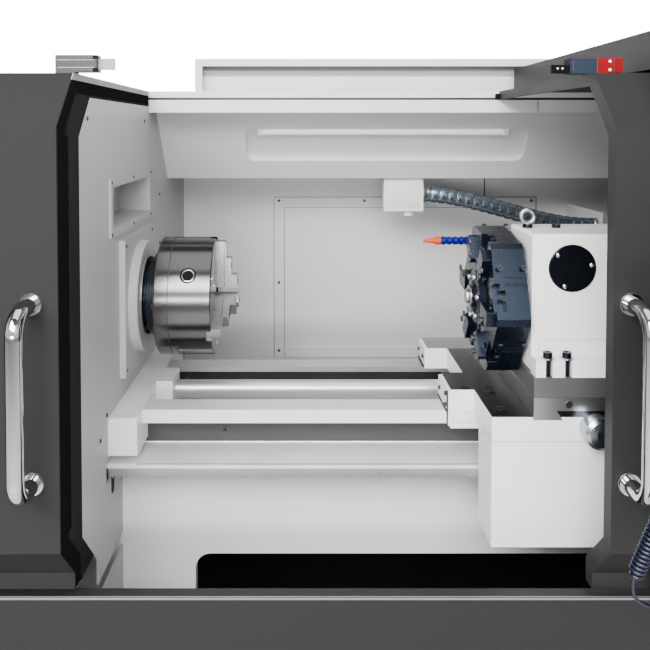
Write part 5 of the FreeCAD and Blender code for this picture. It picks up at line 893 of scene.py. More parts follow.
@dataclass
class PendantCord:
    """Curly cord of the hand pendant with its plain tail to the gland."""

    top: Point = (0.370, deep(-0.690), 1.078)
    bottom: Point = (0.332, deep(-0.617), 0.861)
    wire: float = 0.0025
    curl: float = 0.0089
    curls: int = 28
    per_turn: int = 16
    tail: Tuple[Point, ...] = (
        (0.335, deep(-0.611), 0.838), (0.350, deep(-0.606), 0.822), (0.372, deep(-0.604), 0.816),
        (0.396, deep(-0.604), 0.820), (0.418, deep(-0.602), 0.832), (0.436, deep(-0.600), 0.848),
        (0.450, deep(-0.597), 0.866), (0.460, deep(-0.592), 0.884), (0.466, deep(-0.584), 0.896),
        (0.468, deep(-0.574), 0.900),
    )

    def route(self) -> List[Vector]:
        """Control points: the lead, the helix, which opens and closes smoothly, and the tail."""
        top, bottom = Vector(self.top), Vector(self.bottom)
        axis = bottom - top
        straight = 5 * self.wire
        pitch = (axis.length - 2 * straight) / self.curls
        turn = Vector((0, 0, 1)).rotation_difference(axis)
        reach = self.curl / (0.5 * (1 + math.cos(math.pi / self.per_turn * 2) ** 0.5))
        points = [top, top + axis.normalized() * straight * 0.5]
        count = self.curls * self.per_turn
        for i in range(count + 1):
            turns = self.curls * i / count
            around = math.tau * turns
            near = min(1.0, 2.0 * min(turns, self.curls - turns))
            wide = reach * near * near * (3 - 2 * near)
            spot = Vector((wide * math.cos(around), wide * math.sin(around),
                           straight + pitch * turns))
            points.append(top + turn @ spot)
        points += [bottom - axis.normalized() * straight * 0.5, bottom]
        return points + [Vector(p) for p in self.tail]

    def build(self) -> None:
        """The cord as one open spline."""
        data = bpy.data.curves.new("pendant_flex", "CURVE")
        data.dimensions = "3D"
        line = data.splines.new("NURBS")
        points = self.route()
        line.points.add(len(points) - 1)
        for spot, point in zip(points, line.points):
            point.co = (*spot, 1.0)
        line.use_endpoint_u = True
        line.order_u = 3
        line.resolution_u = 4
        data.bevel_depth = self.wire
        data.bevel_resolution = 3
        data.use_fill_caps = True
        flex = bpy.data.objects.new("pendant_flex", data)
        bpy.context.scene.collection.objects.link(flex)
        data.materials.append(FINISHES["pendant_cord"].make())
        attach(flex, "machine")
        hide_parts("pendant_cord", "pendant_tail")
        2 * self.wire


# ------------------------------------------------------------------ sub-assemblies

@dataclass
class WorkingSpace:
    """Fine parts of the walls round the working space."""

    wall_screws: Profile = (
        (-0.354, 1.4965), (0.107, 1.497), (0.285, 1.314), (0.285, 1.191), (-0.080, 1.2245),
        (-0.071, 0.9806), (0.026, 0.9346), (-0.245, 0.949), (-0.290, 0.919),
    )
    niche_frame_x: float = WALL_X + 0.004
    spindle_plate_x: float = -0.470
    ring_face_x: float = -0.4525
    cover_x: Tuple[float, ...] = (-0.191, 0.070, 0.330, 0.579)
    cover_z: Tuple[float, ...] = (0.800, 1.0095, 1.261)
    cover_face: float = deep(0.672)
    cover_edges: Point = (-0.2065, 0.5945, 1.2725)
    cover_foot: float = 0.779
    base_end: float = -1.1195
    base_fold: Profile = ((-0.4573, 0.7340), (-0.4573, 0.7368), (-0.4560, 0.7383),
                          (-0.4540, 0.7383), (-0.4555, 0.7340))

    def screws(self) -> None:
        """Screws of the headstock wall, the niche, the spindle plate and the access cover."""
        fix("wall_screws", pan_head(0.0042, 0.0026), Side.RIGHT,
            [(WALL_X, deep(y), z) for y, z in self.wall_screws])
        fix("niche_screws", pan_head(0.0034, 0.002), Side.RIGHT, [
            *product([self.niche_frame_x], deeps(-0.207, -0.025, 0.156), (1.2785, 1.3775)),
            *product([self.spindle_plate_x], deeps(-0.128, 0.128), (0.995, 1.245))])
        fix("cover_screws", pan_head(0.0045, 0.0026), Side.FRONT, [
            *product(self.cover_x[::3], [self.cover_face], self.cover_z),
            *product(self.cover_x[1:-1], [self.cover_face], self.cover_z[-1:])])

    def cover(self) -> None:
        """Two scribed lines round the access cover."""
        boxes = []
        for inset, width in ((0.0, 0.0018), (0.032, 0.0012)):
            left, right, top = self.cover_edges
            left, right, top = left + inset, right - inset, top - inset
            for x0, x1, z0, z1 in ((left, right, top - width, top),
                                   (left, left + width, self.cover_foot, top - width),
                                   (right - width, right, self.cover_foot, top - width)):
                boxes.append(((x0, self.cover_face - 0.0004, z0),
                              (x1, self.cover_face + 0.0002, z1)))
        bars("cover_outline", boxes, "screws", "light_paint")

    def lamp(self) -> None:
        """Holders at the ends of the lamp tube."""
        low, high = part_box("lamp_tube")
        y, z = (low[1] + high[1]) / 2, (low[2] + high[2]) / 2
        bars("lamp_holders", [((x, y - 0.0105, z - 0.0105), (x + 0.014, y + 0.006, z + 0.0105))
                              for x in (low[0] - 0.004, high[0] - 0.010)],
             "light", "light_paint", bevel=0.002)

    def build(self) -> None:
        """All of them, with the slot in the wall, the nose ring and the base's front fold."""
        self.screws()
        self.cover()
        fix("wall_slot", plate(0.020, 0.046, 0.0006, 0.0095, 0.0), Side.RIGHT,
            [(WALL_X, deep(-0.204), 0.806)], "rubber")
        self.lamp()
        nose = closed((0.0, 0.0835), (0.0, 0.0862), (0.0022, 0.0862), (0.0030, 0.0852),
                      (0.0030, 0.0842), (0.0010, 0.0835), steps=72)
        fix("nose_ring", nose, Side.RIGHT, [(self.ring_face_x, AXIS_Y, AXIS_Z)],
            "steel", "ground_steel")
        # The base's front fold is a strip of lighter grey: a painted highlight.
        fold = outline([(self.base_end, deep(y), z) for y, z in self.base_fold],
                       (-2 * self.base_end, 0, 0))
        fit("base_fold", fold, "fold", "dark_paint")


@dataclass
class SlidingDoor:
    """Window gasket, handle washers and window clips of one door."""

    side: str
    window: Tuple[float, float]
    handle_x: float
    front: float = deep(-0.512)
    handle_z: Tuple[float, float] = (0.947, 1.218)
    clip_z: Point = (1.010, 1.180, 1.350)

    def build(self) -> None:
        """The door's own details."""
        body = f"{self.side}_door"
        low, high = self.window
        fix(f"{self.side}_window_gasket", gasket(high - low + 0.014, 0.454, 0.034, 0.016, 0.0045),
            Side.FRONT, [((low + high) / 2, self.front, self.clip_z[1])], "rubber", "rubber", body)
        washer = lathe([(0.0, 0.0), (0.0, 0.0168), (0.0024, 0.0168), (0.0042, 0.0150),
                        (0.0042, 0.0)], 32)
        fix(f"{self.side}_handle_washers", washer, Side.FRONT,
            product([self.handle_x], [self.front], self.handle_z), "steel", "chrome", body)
        places = [(x, self.front, z) for z in self.clip_z for x in (low + 0.004, high - 0.004)]
        fix(f"{self.side}_window_clips", plate(0.010, 0.030, 0.0052, 0.003), Side.FRONT, places,
            "black", body=body)


@dataclass
class Interlocks:
    """Fine parts of the door interlock: key on the left door, switch on the right one."""

    dots_x: float = 0.3865
    terminals_x: Tuple[float, float] = (0.301, 0.309)
    grooves: Tuple[Point, ...] = ((0.3930, 0.0014, 0.024), (0.3655, 0.0016, 0.024),
                                  (0.3265, 0.0012, 0.018))
    key_width: float = 0.066

    def switch(self) -> None:
        """Grooves, dots and terminal screws of the switch."""
        (_, front, foot), (_, _, top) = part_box("interlock_switch")
        level = (foot + top) / 2 + 0.001
        more = ("switch_plastic", "right_door")
        fix("switch_dots", pan_head(0.0026, 0.0012), Side.FRONT,
            product([self.dots_x], [front], (top - 0.006, foot + 0.008)), "dots", *more)
        made = Shape()
        for x, width, height in self.grooves:
            made.add(plate(width, height, 0.0006, 0.0005, 0.0), Side.FRONT.at(x, front, level))
        fit("switch_grooves", made, "line", *more)
        fix("switch_screws", pan_head(0.0022, 0.0012), Side.FRONT,
            product(self.terminals_x, [front], [foot + 0.010]), "bright", *more)

    def key(self) -> None:
        """Grooves, screw and black lips of the key on the left door."""
        (left, front, foot), (_, _, top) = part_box("interlock_key")
        right = left + self.key_width
        level = (foot + top) / 2 + 0.001
        more = ("key_metal", "left_door")
        fix("key_grooves", plate(right - left - 0.006, 0.0010, 0.0005, 0.0004, 0.0), Side.FRONT,
            product([(left + right) / 2], [front], (level - 0.0065, level + 0.0055)),
            "grey_line", *more)
        bars("key_lips", [((right - 0.006, front - 0.0008, z - 0.003),
                           (right + 0.0006, front + 0.010, z + 0.003))
                          for z in (foot + 0.0055, top - 0.0035)], "rubber", *more, bevel=0.0006)
        fix("key_screw", pan_head(0.0020, 0.0012), Side.FRONT,
            [(right - 0.013, front, top - 0.005)], "screws", *more)

    def build(self) -> None:
        """Both halves, and the seal along the left door's top edge."""
        self.switch()
        self.key()
        bars("left_top_seal", [((-0.4819, deep(-0.420), 1.5365), (-0.4809, deep(0.150), 1.5480))],
             "seal", "rubber", "left_door")


@dataclass
class Chuck:
    """Turned bands, bolts and key sockets of the chuck, its adapter and its jaws."""

    face_x: float = -0.304
    seat_x: float = -0.4200
    socket_x: float = -0.351
    adapter_bands: Point = (-0.4400, -0.4345, -0.4290)
    skin: float = 0.0006

    def band(self, name: str, x: float, radius: float, width: float, proud: float,
             look: str, slot: str) -> None:
        """A thin turned band on a cylinder of the spindle."""
        inner, outer = radius - self.skin, radius + proud
        made = closed((0.0, radius), (width * 0.15, outer), (width * 0.85, outer),
                      (width, radius), (width, inner), (0.0, inner), steps=96)
        fix(name, made, Side.RIGHT, [(x, AXIS_Y, AXIS_Z)], look, slot, "spindle")

    @staticmethod
    def polar(x: float, radius: float, angle: float) -> Point:
        """Place on a circle about the spindle, its angle from straight up."""
        around = math.radians(angle)
        return (x, AXIS_Y - radius * math.sin(around), AXIS_Z + radius * math.cos(around))

    def key_sockets(self) -> None:
        """Bright rim round each key socket, and a black disc of painted shade in its mouth."""
        rims, shade_discs = Shape(), Shape()
        for angle in (60.0, -60.0, -180.0):
            around = math.radians(angle)
            normal = (0.0, -math.sin(around), math.cos(around))
            rims.add(closed((0.0, 0.0112), (0.0009, 0.0116), (0.0010, 0.0122), (0.0007, 0.0130),
                            (-0.0012, 0.0132), (-0.0012, 0.0112), steps=40),
                     standing(self.polar(self.socket_x, 0.1238, angle), normal))
            # A thin black disc over the socket's opening: painted shade for the dark inside of the
            # socket.
            shade_discs.add(lathe([(0.0006, 0.0), (0.0010, 0.0116), (0.0, 0.0118), (-0.0002, 0.0)], 32),
                       standing(self.polar(self.socket_x, 0.1234, angle), normal))
        fit("key_socket_rims", rims, "rims", "chuck_steel", "spindle")
        fit("key_socket_shade", shade_discs, "rubber", "black_steel", "spindle")

    def jaw_bolts(self) -> None:
        """Two socket screws and the joint of each jaw."""
        axis = Vector((0, AXIS_Y, AXIS_Z))
        for i, body in enumerate(("jaw_a", "jaw_b", "jaw_c")):
            turn = (Matrix.Translation(axis) @ Matrix.Rotation(math.radians(120.0 * i), 4, "X")
                    @ Matrix.Translation(-axis))
            bolts, joint = Shape(), Shape()
            for level, x in ((0.033, self.face_x + 0.045), (0.064, self.face_x + 0.032)):
                bolts.add(socket_head(0.0062, 0.0012),
                          turn @ Side.RIGHT.at(x, AXIS_Y, AXIS_Z + level))
            fit(f"jaw_screws_{i + 1}", bolts, "black", "black_steel", body)
            for side in (-1, 1):
                y = AXIS_Y + side * 0.01305
                joint.add(block((self.face_x + 0.0165, y - 0.00025, AXIS_Z + 0.020),
                                (self.face_x + 0.0175, y + 0.00025, AXIS_Z + 0.1125)), turn)
            fit(f"jaw_joint_{i + 1}", joint, "line", "chuck_steel", body)

    def build(self) -> None:
        """Bands, bolts and key sockets."""
        for i, x in enumerate(self.adapter_bands):
            self.band(f"adapter_band_{i}", x, 0.082, 0.0022, 0.0009, "black", "blued_steel")
        self.band("backplate_line", -0.3918, 0.1228, 0.0020, 0.0010, "line", "chuck_steel")
        fix("chuck_face_bolts", socket_head(0.0075, 0.0012), Side.RIGHT,
            [self.polar(self.face_x, reach, 60.0 + 120.0 * i)
             for i in range(3) for reach in (0.060, 0.102)],
            "bright", "chuck_steel", "spindle")
        fix("adapter_bolts", socket_head(0.0080, 0.006), Side.LEFT,
            [self.polar(self.seat_x, 0.104, 30.0 + 60.0 * i) for i in range(6)],
            "black", "chuck_steel", "spindle")
        self.key_sockets()
        self.jaw_bolts()


@dataclass
class BedParts:
    """Fine parts on the bed: the ledge's edge line and the oil nipple."""

    nipple: Profile = ((0.0, 0.0), (0.0, 0.0042), (0.002, 0.0042), (0.0026, 0.0025),
                       (0.006, 0.0025), (0.0075, 0.0016), (0.0075, 0.0))

    def build(self) -> None:
        """Both of them."""
        bars("ledge_edge", [((-0.4275, deep(-0.2396), 0.8532), (1.059, deep(-0.2388), 0.8553))],
             "steel", "ground_steel")
        fix("oil_nipple", lathe(self.nipple, 20), Side.FRONT, [(-0.273, deep(-0.140), 0.880)],
            "black")


@dataclass
class CarriageParts:
    """Wipers, socket bolts and joint lines of the carriage."""

    left: float = 0.157
    top: float = 0.985
    apron_front: float = deep(-0.3452)
    lips: Tuple[Tuple[float, float, float, float], ...] = (
        (-0.2100, -0.2045, 0.9130, 0.9810), (-0.2090, -0.1100, 0.9385, 0.9425),
        (0.0640, 0.1500, 0.9385, 0.9425), (0.1290, 0.1330, 0.9085, 0.9400))
    wiper_screws: Profile = ((-0.195, 0.973), (-0.195, 0.951), (-0.130, 0.962), (0.080, 0.962),
                             (0.139, 0.962), (0.139, 0.930))
    bolts: Profile = ((0.193, -0.194), (0.239, -0.194), (0.234, -0.232), (0.232, -0.308),
                      (0.536, -0.232), (0.536, -0.308))

    def build(self) -> None:
        """All of them."""
        body = "carriage"
        bars("wiper_lips", [((self.left - 0.0012, deep(y0), z0), (self.left + 0.0005, deep(y1), z1))
                            for y0, y1, z0, z1 in self.lips], "rubber", "rubber", body)
        fix("wiper_screws", socket_head(0.0042, 0.0045), Side.LEFT,
            [(self.left, deep(y), z) for y, z in self.wiper_screws], "black", body=body)
        fix("carriage_bolts", socket_head(0.0085, 0.0012), Side.TOP,
            [(x, deep(y), self.top) for x, y in self.bolts], "black", body=body)
        front = self.apron_front
        bars("apron_joint", [((0.2068, front - 0.0003, 0.9403), (0.5612, front + 0.0004, 0.9414)),
                             ((0.2066, front, 0.9403), (0.2072, deep(-0.245), 0.9414))],
             "grey_line", "casting_paint", body)
        fix("wing_outline", gasket(0.037, 0.022, 0.003, 0.0008, 0.0003), Side.FRONT,
            [(0.185, deep(-0.2092), 0.931)], "grey_line", "casting_paint", body)


@dataclass
class SlideParts:
    """Gib screws, cover screws, washers and lines of the cross slide and the turret housing."""

    cover: Tuple[float, float] = (0.352, 1.236)
    cover_reach: float = 0.034
    back_cover: Point = (0.384, deep(-0.180), 1.200)

    def build(self) -> None:
        """All of them."""
        body = "cross_slide_unit"
        fix("gib_screws", socket_head(0.0062, 0.0014), Side.FRONT,
            product((0.339, 0.440), deeps(-0.345), [1.0056]), "black", body=body)
        turns = [math.radians(angle) for angle in (137.0, 10.0, 247.5)]
        fix("cover_fixings", pan_head(0.0042, 0.0022), Side.FRONT,
            [(self.cover[0] + self.cover_reach * math.cos(t), deep(-0.320),
              self.cover[1] + self.cover_reach * math.sin(t)) for t in turns],
            "bright", "ground_steel", body)
        washer = closed((0.0, 0.0085), (0.0, 0.0112), (0.0023, 0.0112), (0.0027, 0.0104),
                        (0.0027, 0.0085), steps=32)
        fix("bolt_washers", washer, Side.TOP, product((0.305, 0.338), deeps(-0.335), [1.082]),
            "bright", "ground_steel", body)
        low, high = deep(-0.317) - 0.0003, deep(-0.317) + 0.0002
        bars("housing_outline", [((0.2945, low, 1.0830), (0.2952, high, 1.1105)),
                                 ((0.2945, low, 1.1105), (0.4790, high, 1.1112))],
             "grey_line", "casting_paint", body)
        bars("slide_seam", [((0.2790, deep(-0.3454), 1.0173), (0.4890, deep(-0.3449), 1.0181))],
             "line", "black_steel", body)
        fix("housing_back_cover", plate(0.120, 0.150, 0.004, 0.010), Side.BACK, [self.back_cover],
            "dark", "black_steel", body)
        x, y, z = self.back_cover
        fix("housing_back_screws", socket_head(0.004, 0.003), Side.BACK,
            product((x - 0.050, x + 0.050), [y + 0.004], (z - 0.065, z + 0.065)),
            "bright", "black_steel", body)


@dataclass
class Turret:
    """Holes, grooves, clamp screws, ribs and hub of the turret disc."""

    axis: Tuple[float, float] = (deep(-0.203), 1.162)
    flat: float = 0.122
    flat_margin: float = 0.01
    turn: float = 8.5
    stations: int = 6
    holes: Profile = ((0.2268, 0.057), (0.2687, 0.057), (0.2312, 0.004), (0.2687, 0.004))
    grooves: Tuple[float, float] = (0.2355, 0.2745)
    groove_levels: Point = (0.0418, 0.0310, 0.0272)

    def at(self, station: float, x: float, up: float, reach: float) -> Matrix:
        """Place on a station: X along the spindle, Y up its face, Z outwards."""
        angle = math.radians(self.turn + 60.0 * station)
        rise = Vector((0, math.sin(angle), math.cos(angle)))
        out = Vector((0, -math.cos(angle), math.sin(angle)))
        rows = Matrix((Vector((1, 0, 0)), rise, out)).transposed().to_4x4()
        outside = reach > self.flat - self.flat_margin
        place = Vector((0, *self.axis)) + out * (reach if outside else 0.0)
        inner = 0.0 if outside else reach
        return Matrix.Translation(place) @ rows @ Matrix.Translation(Vector((x, up, inner)))

    def rim(self) -> None:
        """Screw holes, as flat black discs of painted shade with rims, and scribed grooves of every
        station.
        """
        holes, rims, grooves, edges = Shape(), Shape(), Shape(), Shape()
        start, end = self.grooves
        for k in range(self.stations):
            for x, up in self.holes:
                spot = self.at(k, x, up, self.flat)
                # Each hole is a flat black disc: painted shade standing in for the dark inside of
                # the hole.
                holes.add(lathe([(0.0003, 0.0), (0.0003, 0.0034), (-0.0002, 0.0034),
                                 (-0.0002, 0.0)], 20), spot)
                rims.add(closed((0.0, 0.0034), (0.0005, 0.0036), (0.0005, 0.0044), (0.0, 0.0047),
                                (-0.0002, 0.0047), (-0.0002, 0.0034), steps=20), spot)
            for up in self.groove_levels:
                grooves.add(plate(end - start, 0.0008, 0.0003, 0.0003, 0.0),
                            self.at(k, (start + end) / 2, up, self.flat))
            edges.add(plate(0.0575, 0.0010, 0.0014, 0.0003, 0.0),
                      self.at(k, 0.246, -0.0200, self.flat - 0.001))
        fit("turret_hole_shade", holes, "black", "black_steel", "turret")
        fit("turret_hole_rims", rims, "screws", "blued_steel", "turret")
        fit("turret_grooves", grooves, "black", "black_steel", "turret")
        fit("turret_steps", edges, "black", "black_steel", "turret")

    def left_face(self) -> None:
        """Clamp screws, ribs between the stations and the bolted hub."""
        screws, ribs, hub = Shape(), Shape(), Shape()
        left = Matrix.Rotation(-math.pi / 2, 4, "Y")
        for k in range(self.stations):
            for reach in (0.078, 0.102):
                screws.add(socket_head(0.0058, 0.0040), self.at(k + 0.5, 0.2030, 0.0, reach) @ left)
            ribs.add(block((-0.006, -0.004, 0.050), (0.0005, 0.004, 0.074), 0.0015),
                     self.at(k + 0.5, 0.2170, 0.0, 0.0))
            ribs.add(block((-0.005, -0.034, 0.070), (0.0005, -0.012, 0.098), 0.002),
                     self.at(k, 0.2170, 0.0, 0.0))
            hub.add(socket_head(0.0050, 0.0045), self.at(k, 0.2052, 0.0, 0.041) @ left)
        fit("clamp_screws", screws, "screws", "ground_steel", "turret")
        fit("turret_ribs", ribs, "ribs", "blued_steel", "turret")
        hub.add(hexagon_head(0.014, 0.006), self.at(0, 0.1990, 0.0, 0.0) @ left)
        fit("hub_bolts", hub, "steel", "ground_steel", "turret")

    def build(self) -> None:
        """Both sides."""
        self.rim()
        self.left_face()


@dataclass
class Conduit:
    """Riveted metal conduit of interlocked segments, from the cable box to its bracket."""

    start: Tuple[float, float] = (0.2093, 1.302)
    end: Tuple[float, float] = (0.6897, 1.213)
    sag: float = 0.016
    segments: int = 21
    middle: float = deep(0.439)
    radius: float = 0.0230
    flatness: float = 0.63
    end_flatness: float = 0.70

    def spot(self, share: float) -> Vector:
        """Point of the middle line."""
        fall = share * share * (3 - 2 * share)
        x = self.start[0] + (self.end[0] - self.start[0]) * share
        z = self.start[1] + (self.end[1] - self.start[1]) * fall - self.sag * share * (1 - share)
        return Vector((x, self.middle, z))

    def build(self) -> None:
        """Segments, rivets, the dark core, both end rings and the cable box's lid."""
        shells, rivets, core, ends = Shape(), Shape(), Shape(), Shape()
        length = (self.spot(1) - self.spot(0)).length / self.segments
        half, r = length / 2, self.radius
        for i in range(self.segments):
            share = (i + 0.5) / self.segments
            ahead = (self.spot(min(share + 0.01, 1)) - self.spot(max(share - 0.01, 0))).normalized()
            lean = Matrix.Translation(self.spot(share)) @ Matrix.Rotation(
                math.atan2(-ahead.z, ahead.x), 4, "Y")
            stand = (lean @ Matrix.Diagonal((1, self.flatness, 1, 1))
                     @ Matrix.Rotation(math.pi / 2, 4, "Y"))
            shells.add(closed((-half * 0.94, r - 0.0028), (-half * 0.94, r - 0.0003),
                              (-half * 0.80, r), (half * 0.45, r - 0.0006),
                              (half * 0.52, r - 0.0022), (half * 0.98, r - 0.0026),
                              (half * 0.98, r - 0.0040), steps=32), stand)
            core.add(lathe([(-half, 0.0), (-half, r - 0.0042), (half, r - 0.0042), (half, 0.0)],
                           24), stand)
            seat = Matrix.Translation(Vector((-length * 0.12, -r * self.flatness * 0.955, -0.004)))
            rivets.add(lathe([(0.0, 0.0), (0.0, 0.0052), (0.0010, 0.0052), (0.0016, 0.0036),
                              (0.0010, 0.0)], 12), lean @ seat @ Side.FRONT.turned())
        shell = shells.piece("conduit_segments", "machine", FINISHES["metal_conduit"],
                             "conduit_metal")
        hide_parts("metal_conduit")
        fit("conduit_rivets", rivets, "screws", "conduit_metal")
        fit("conduit_core", core, "screws", "conduit_metal")
        for share, x, turn in ((0.0, 0.2092, Side.RIGHT), (1.0, 0.6898, Side.LEFT)):
            place = self.spot(share)
            ring = closed((0.0, 0.0180), (0.0, 0.0228), (0.009, 0.0228), (0.011, 0.0210),
                          (0.011, 0.0180), steps=32)
            ends.add(ring, Matrix.Translation(Vector((x, place.y, place.z)))
                     @ Matrix.Diagonal((1, self.end_flatness, 1, 1)) @ turn.turned())
        fit("conduit_ends", ends, "steel", "conduit_metal")
        fix("cable_box_lid", plate(0.080, 0.072, 0.0014, 0.004, 0.0006), Side.FRONT,
            [(0.1555, deep(0.418), 1.3015)], "light", "light_paint")


@dataclass
class ControlBox:
    """Screen, keys, knob and pendant of the operator's side."""

    front: float = deep(-0.700)
    left: float = 0.470
    low: float = 1.020
    height: float = 0.420
    knob: Tuple[float, float] = (0.330, 0.090)
    bar_widths: Tuple[float, ...] = (0.150, 0.110, 0.130, 0.090, 0.120)
    panel_middle: Tuple[float, float] = (0.700, 0.210)
    pendant_spot: Point = (0.370, deep(-0.707), 1.150)

    def screen(self) -> None:
        """Glass, frame and plain bars of the screen."""
        x, z = self.left + 0.145, self.low + self.height - 0.1125
        fix("screen", plate(0.222, 0.167, 0.0012, 0.004, 0.0), Side.FRONT,
            [(x, self.front + 0.0062, z)], "glass", "panel_plastic")
        fix("screen_bezel", gasket(0.236, 0.181, 0.006, 0.010, 0.0030), Side.FRONT,
            [(x, self.front, z)], "black", "panel_plastic")
        made = Shape()
        for i, width in enumerate(self.bar_widths):
            made.add(plate(width, 0.006, 0.0004, 0.001, 0.0),
                     Side.FRONT.at(x - 0.090 + width / 2, self.front + 0.0049,
                                   z + 0.055 - 0.022 * i))
        fit("screen_bars", made, "marks", "panel_plastic")

    def panel(self) -> None:
        """Key caps, lamps, collar, knob marks, seam and screws of the control box."""
        top = self.low + self.height
        fix("key_caps", plate(0.0215, 0.0195, 0.0022, 0.003, 0.0010), Side.FRONT,
            [(self.left + 0.301 + 0.030 * column, self.front - 0.0020, top - 0.040 - 0.028 * row)
             for row in range(6) for column in range(5)], "key", "panel_plastic")
        lamp = lathe([(0.0, 0.0), (0.0, 0.0085), (0.003, 0.0085), (0.006, 0.0060), (0.007, 0.0)],
                     24)
        fix("panel_lamps", lamp, Side.FRONT,
            [(self.left + 0.165 + 0.036 * i, self.front, self.low + 0.150) for i in range(3)],
            "green", "panel_plastic")
        collar = closed((0.0, 0.0262), (0.0, 0.0300), (0.0035, 0.0290), (0.0105, 0.0268),
                        (0.0108, 0.0205), (0.0102, 0.0205), (0.0098, 0.0262), steps=48)
        fix("stop_collar_rim", collar, Side.FRONT,
            [(self.left + 0.080, self.front, self.low + 0.090)], "yellow", "panel_plastic")
        x, z = self.left + self.knob[0], self.low + self.knob[1]
        ticks = Shape()
        for i in range(11):
            around = math.radians(-135.0 + 27.0 * i)
            place = (x + 0.026 * math.sin(around), self.front, z + 0.026 * math.cos(around))
            ticks.add(plate(0.0012, 0.005, 0.0004, 0.0003, 0.0),
                      Side.FRONT.at(*place) @ Matrix.Rotation(-around, 4, "Z"))
        fit("knob_ticks", ticks, "ticks", "panel_plastic")
        grip = wreath(block((-0.0010, 0.0146, 0.003), (0.0010, 0.0160, 0.0185), 0.0004),
                      Side.FRONT.at(x, self.front, z), 18)
        grip.add(plate(0.0022, 0.011, 0.0006, 0.0006, 0.0),
                 Side.FRONT.at(x, self.front - 0.0220, z + 0.0065))
        fit("knob_grip", grip, "rubber", "knob_black", "knob")
        x, z = self.panel_middle[0], self.low + self.panel_middle[1]
        fix("panel_seam", gasket(0.455, 0.4155, 0.012, 0.0022, 0.0008), Side.FRONT,
            [(x, self.front, z)], "line", "panel_plastic")
        fix("panel_screws", socket_head(0.0045, 0.0030), Side.FRONT,
            product((x - 0.217, x + 0.217), [self.front], (z - 0.197, z + 0.197)), "black")

    def pendant(self) -> None:
        """Wheel grip, crank, scale, selectors and stop of the hand pendant."""
        x, front, z = self.pendant_spot
        rim = wreath(block((-0.0011, 0.0272, 0.003), (0.0011, 0.0290, 0.0140), 0.0004),
                     Side.FRONT.at(x, front, z), 36)
        crank = lathe([(0.0, 0.0), (0.0, 0.0065), (0.001, 0.0070), (0.003, 0.0066),
                       (0.004, 0.0050), (0.004, 0.0)], 24)
        rim.add(crank, Side.FRONT.at(x + 0.015, front - 0.018, z + 0.008))
        fit("wheel_grip", rim, "rubber", "knob_black", "wheel")
        scale = closed((0.0, 0.0300), (0.0, 0.0365), (0.0010, 0.0365), (0.0012, 0.0300), steps=64)
        fix("wheel_scale", scale, Side.FRONT, [(x, front, z)], "steel", "ground_steel")
        selectors = Shape()
        for across in (x - 0.018, x + 0.018):
            selectors.add(lathe([(0.0, 0.0), (0.0, 0.0110), (0.002, 0.0110), (0.009, 0.0090),
                                 (0.010, 0.0)], 24), Side.FRONT.at(across, front, z + 0.086))
            selectors.add(plate(0.0030, 0.016, 0.0016, 0.001, 0.0004),
                          Side.FRONT.at(across, front - 0.0100, z + 0.086))
        fit("pendant_selectors", selectors, "key", "knob_black")
        stop = lathe([(0.0, 0.0), (0.0, 0.0070), (0.004, 0.0070), (0.005, 0.0105),
                      (0.009, 0.0105), (0.012, 0.0070), (0.0125, 0.0)], 28)
        fix("pendant_stop", stop, Side.FRONT, [(x, front, z + 0.118)], "red", "stop_red")

    def build(self) -> None:
        """Box and pendant."""
        self.screen()
        self.panel()
        self.pendant()


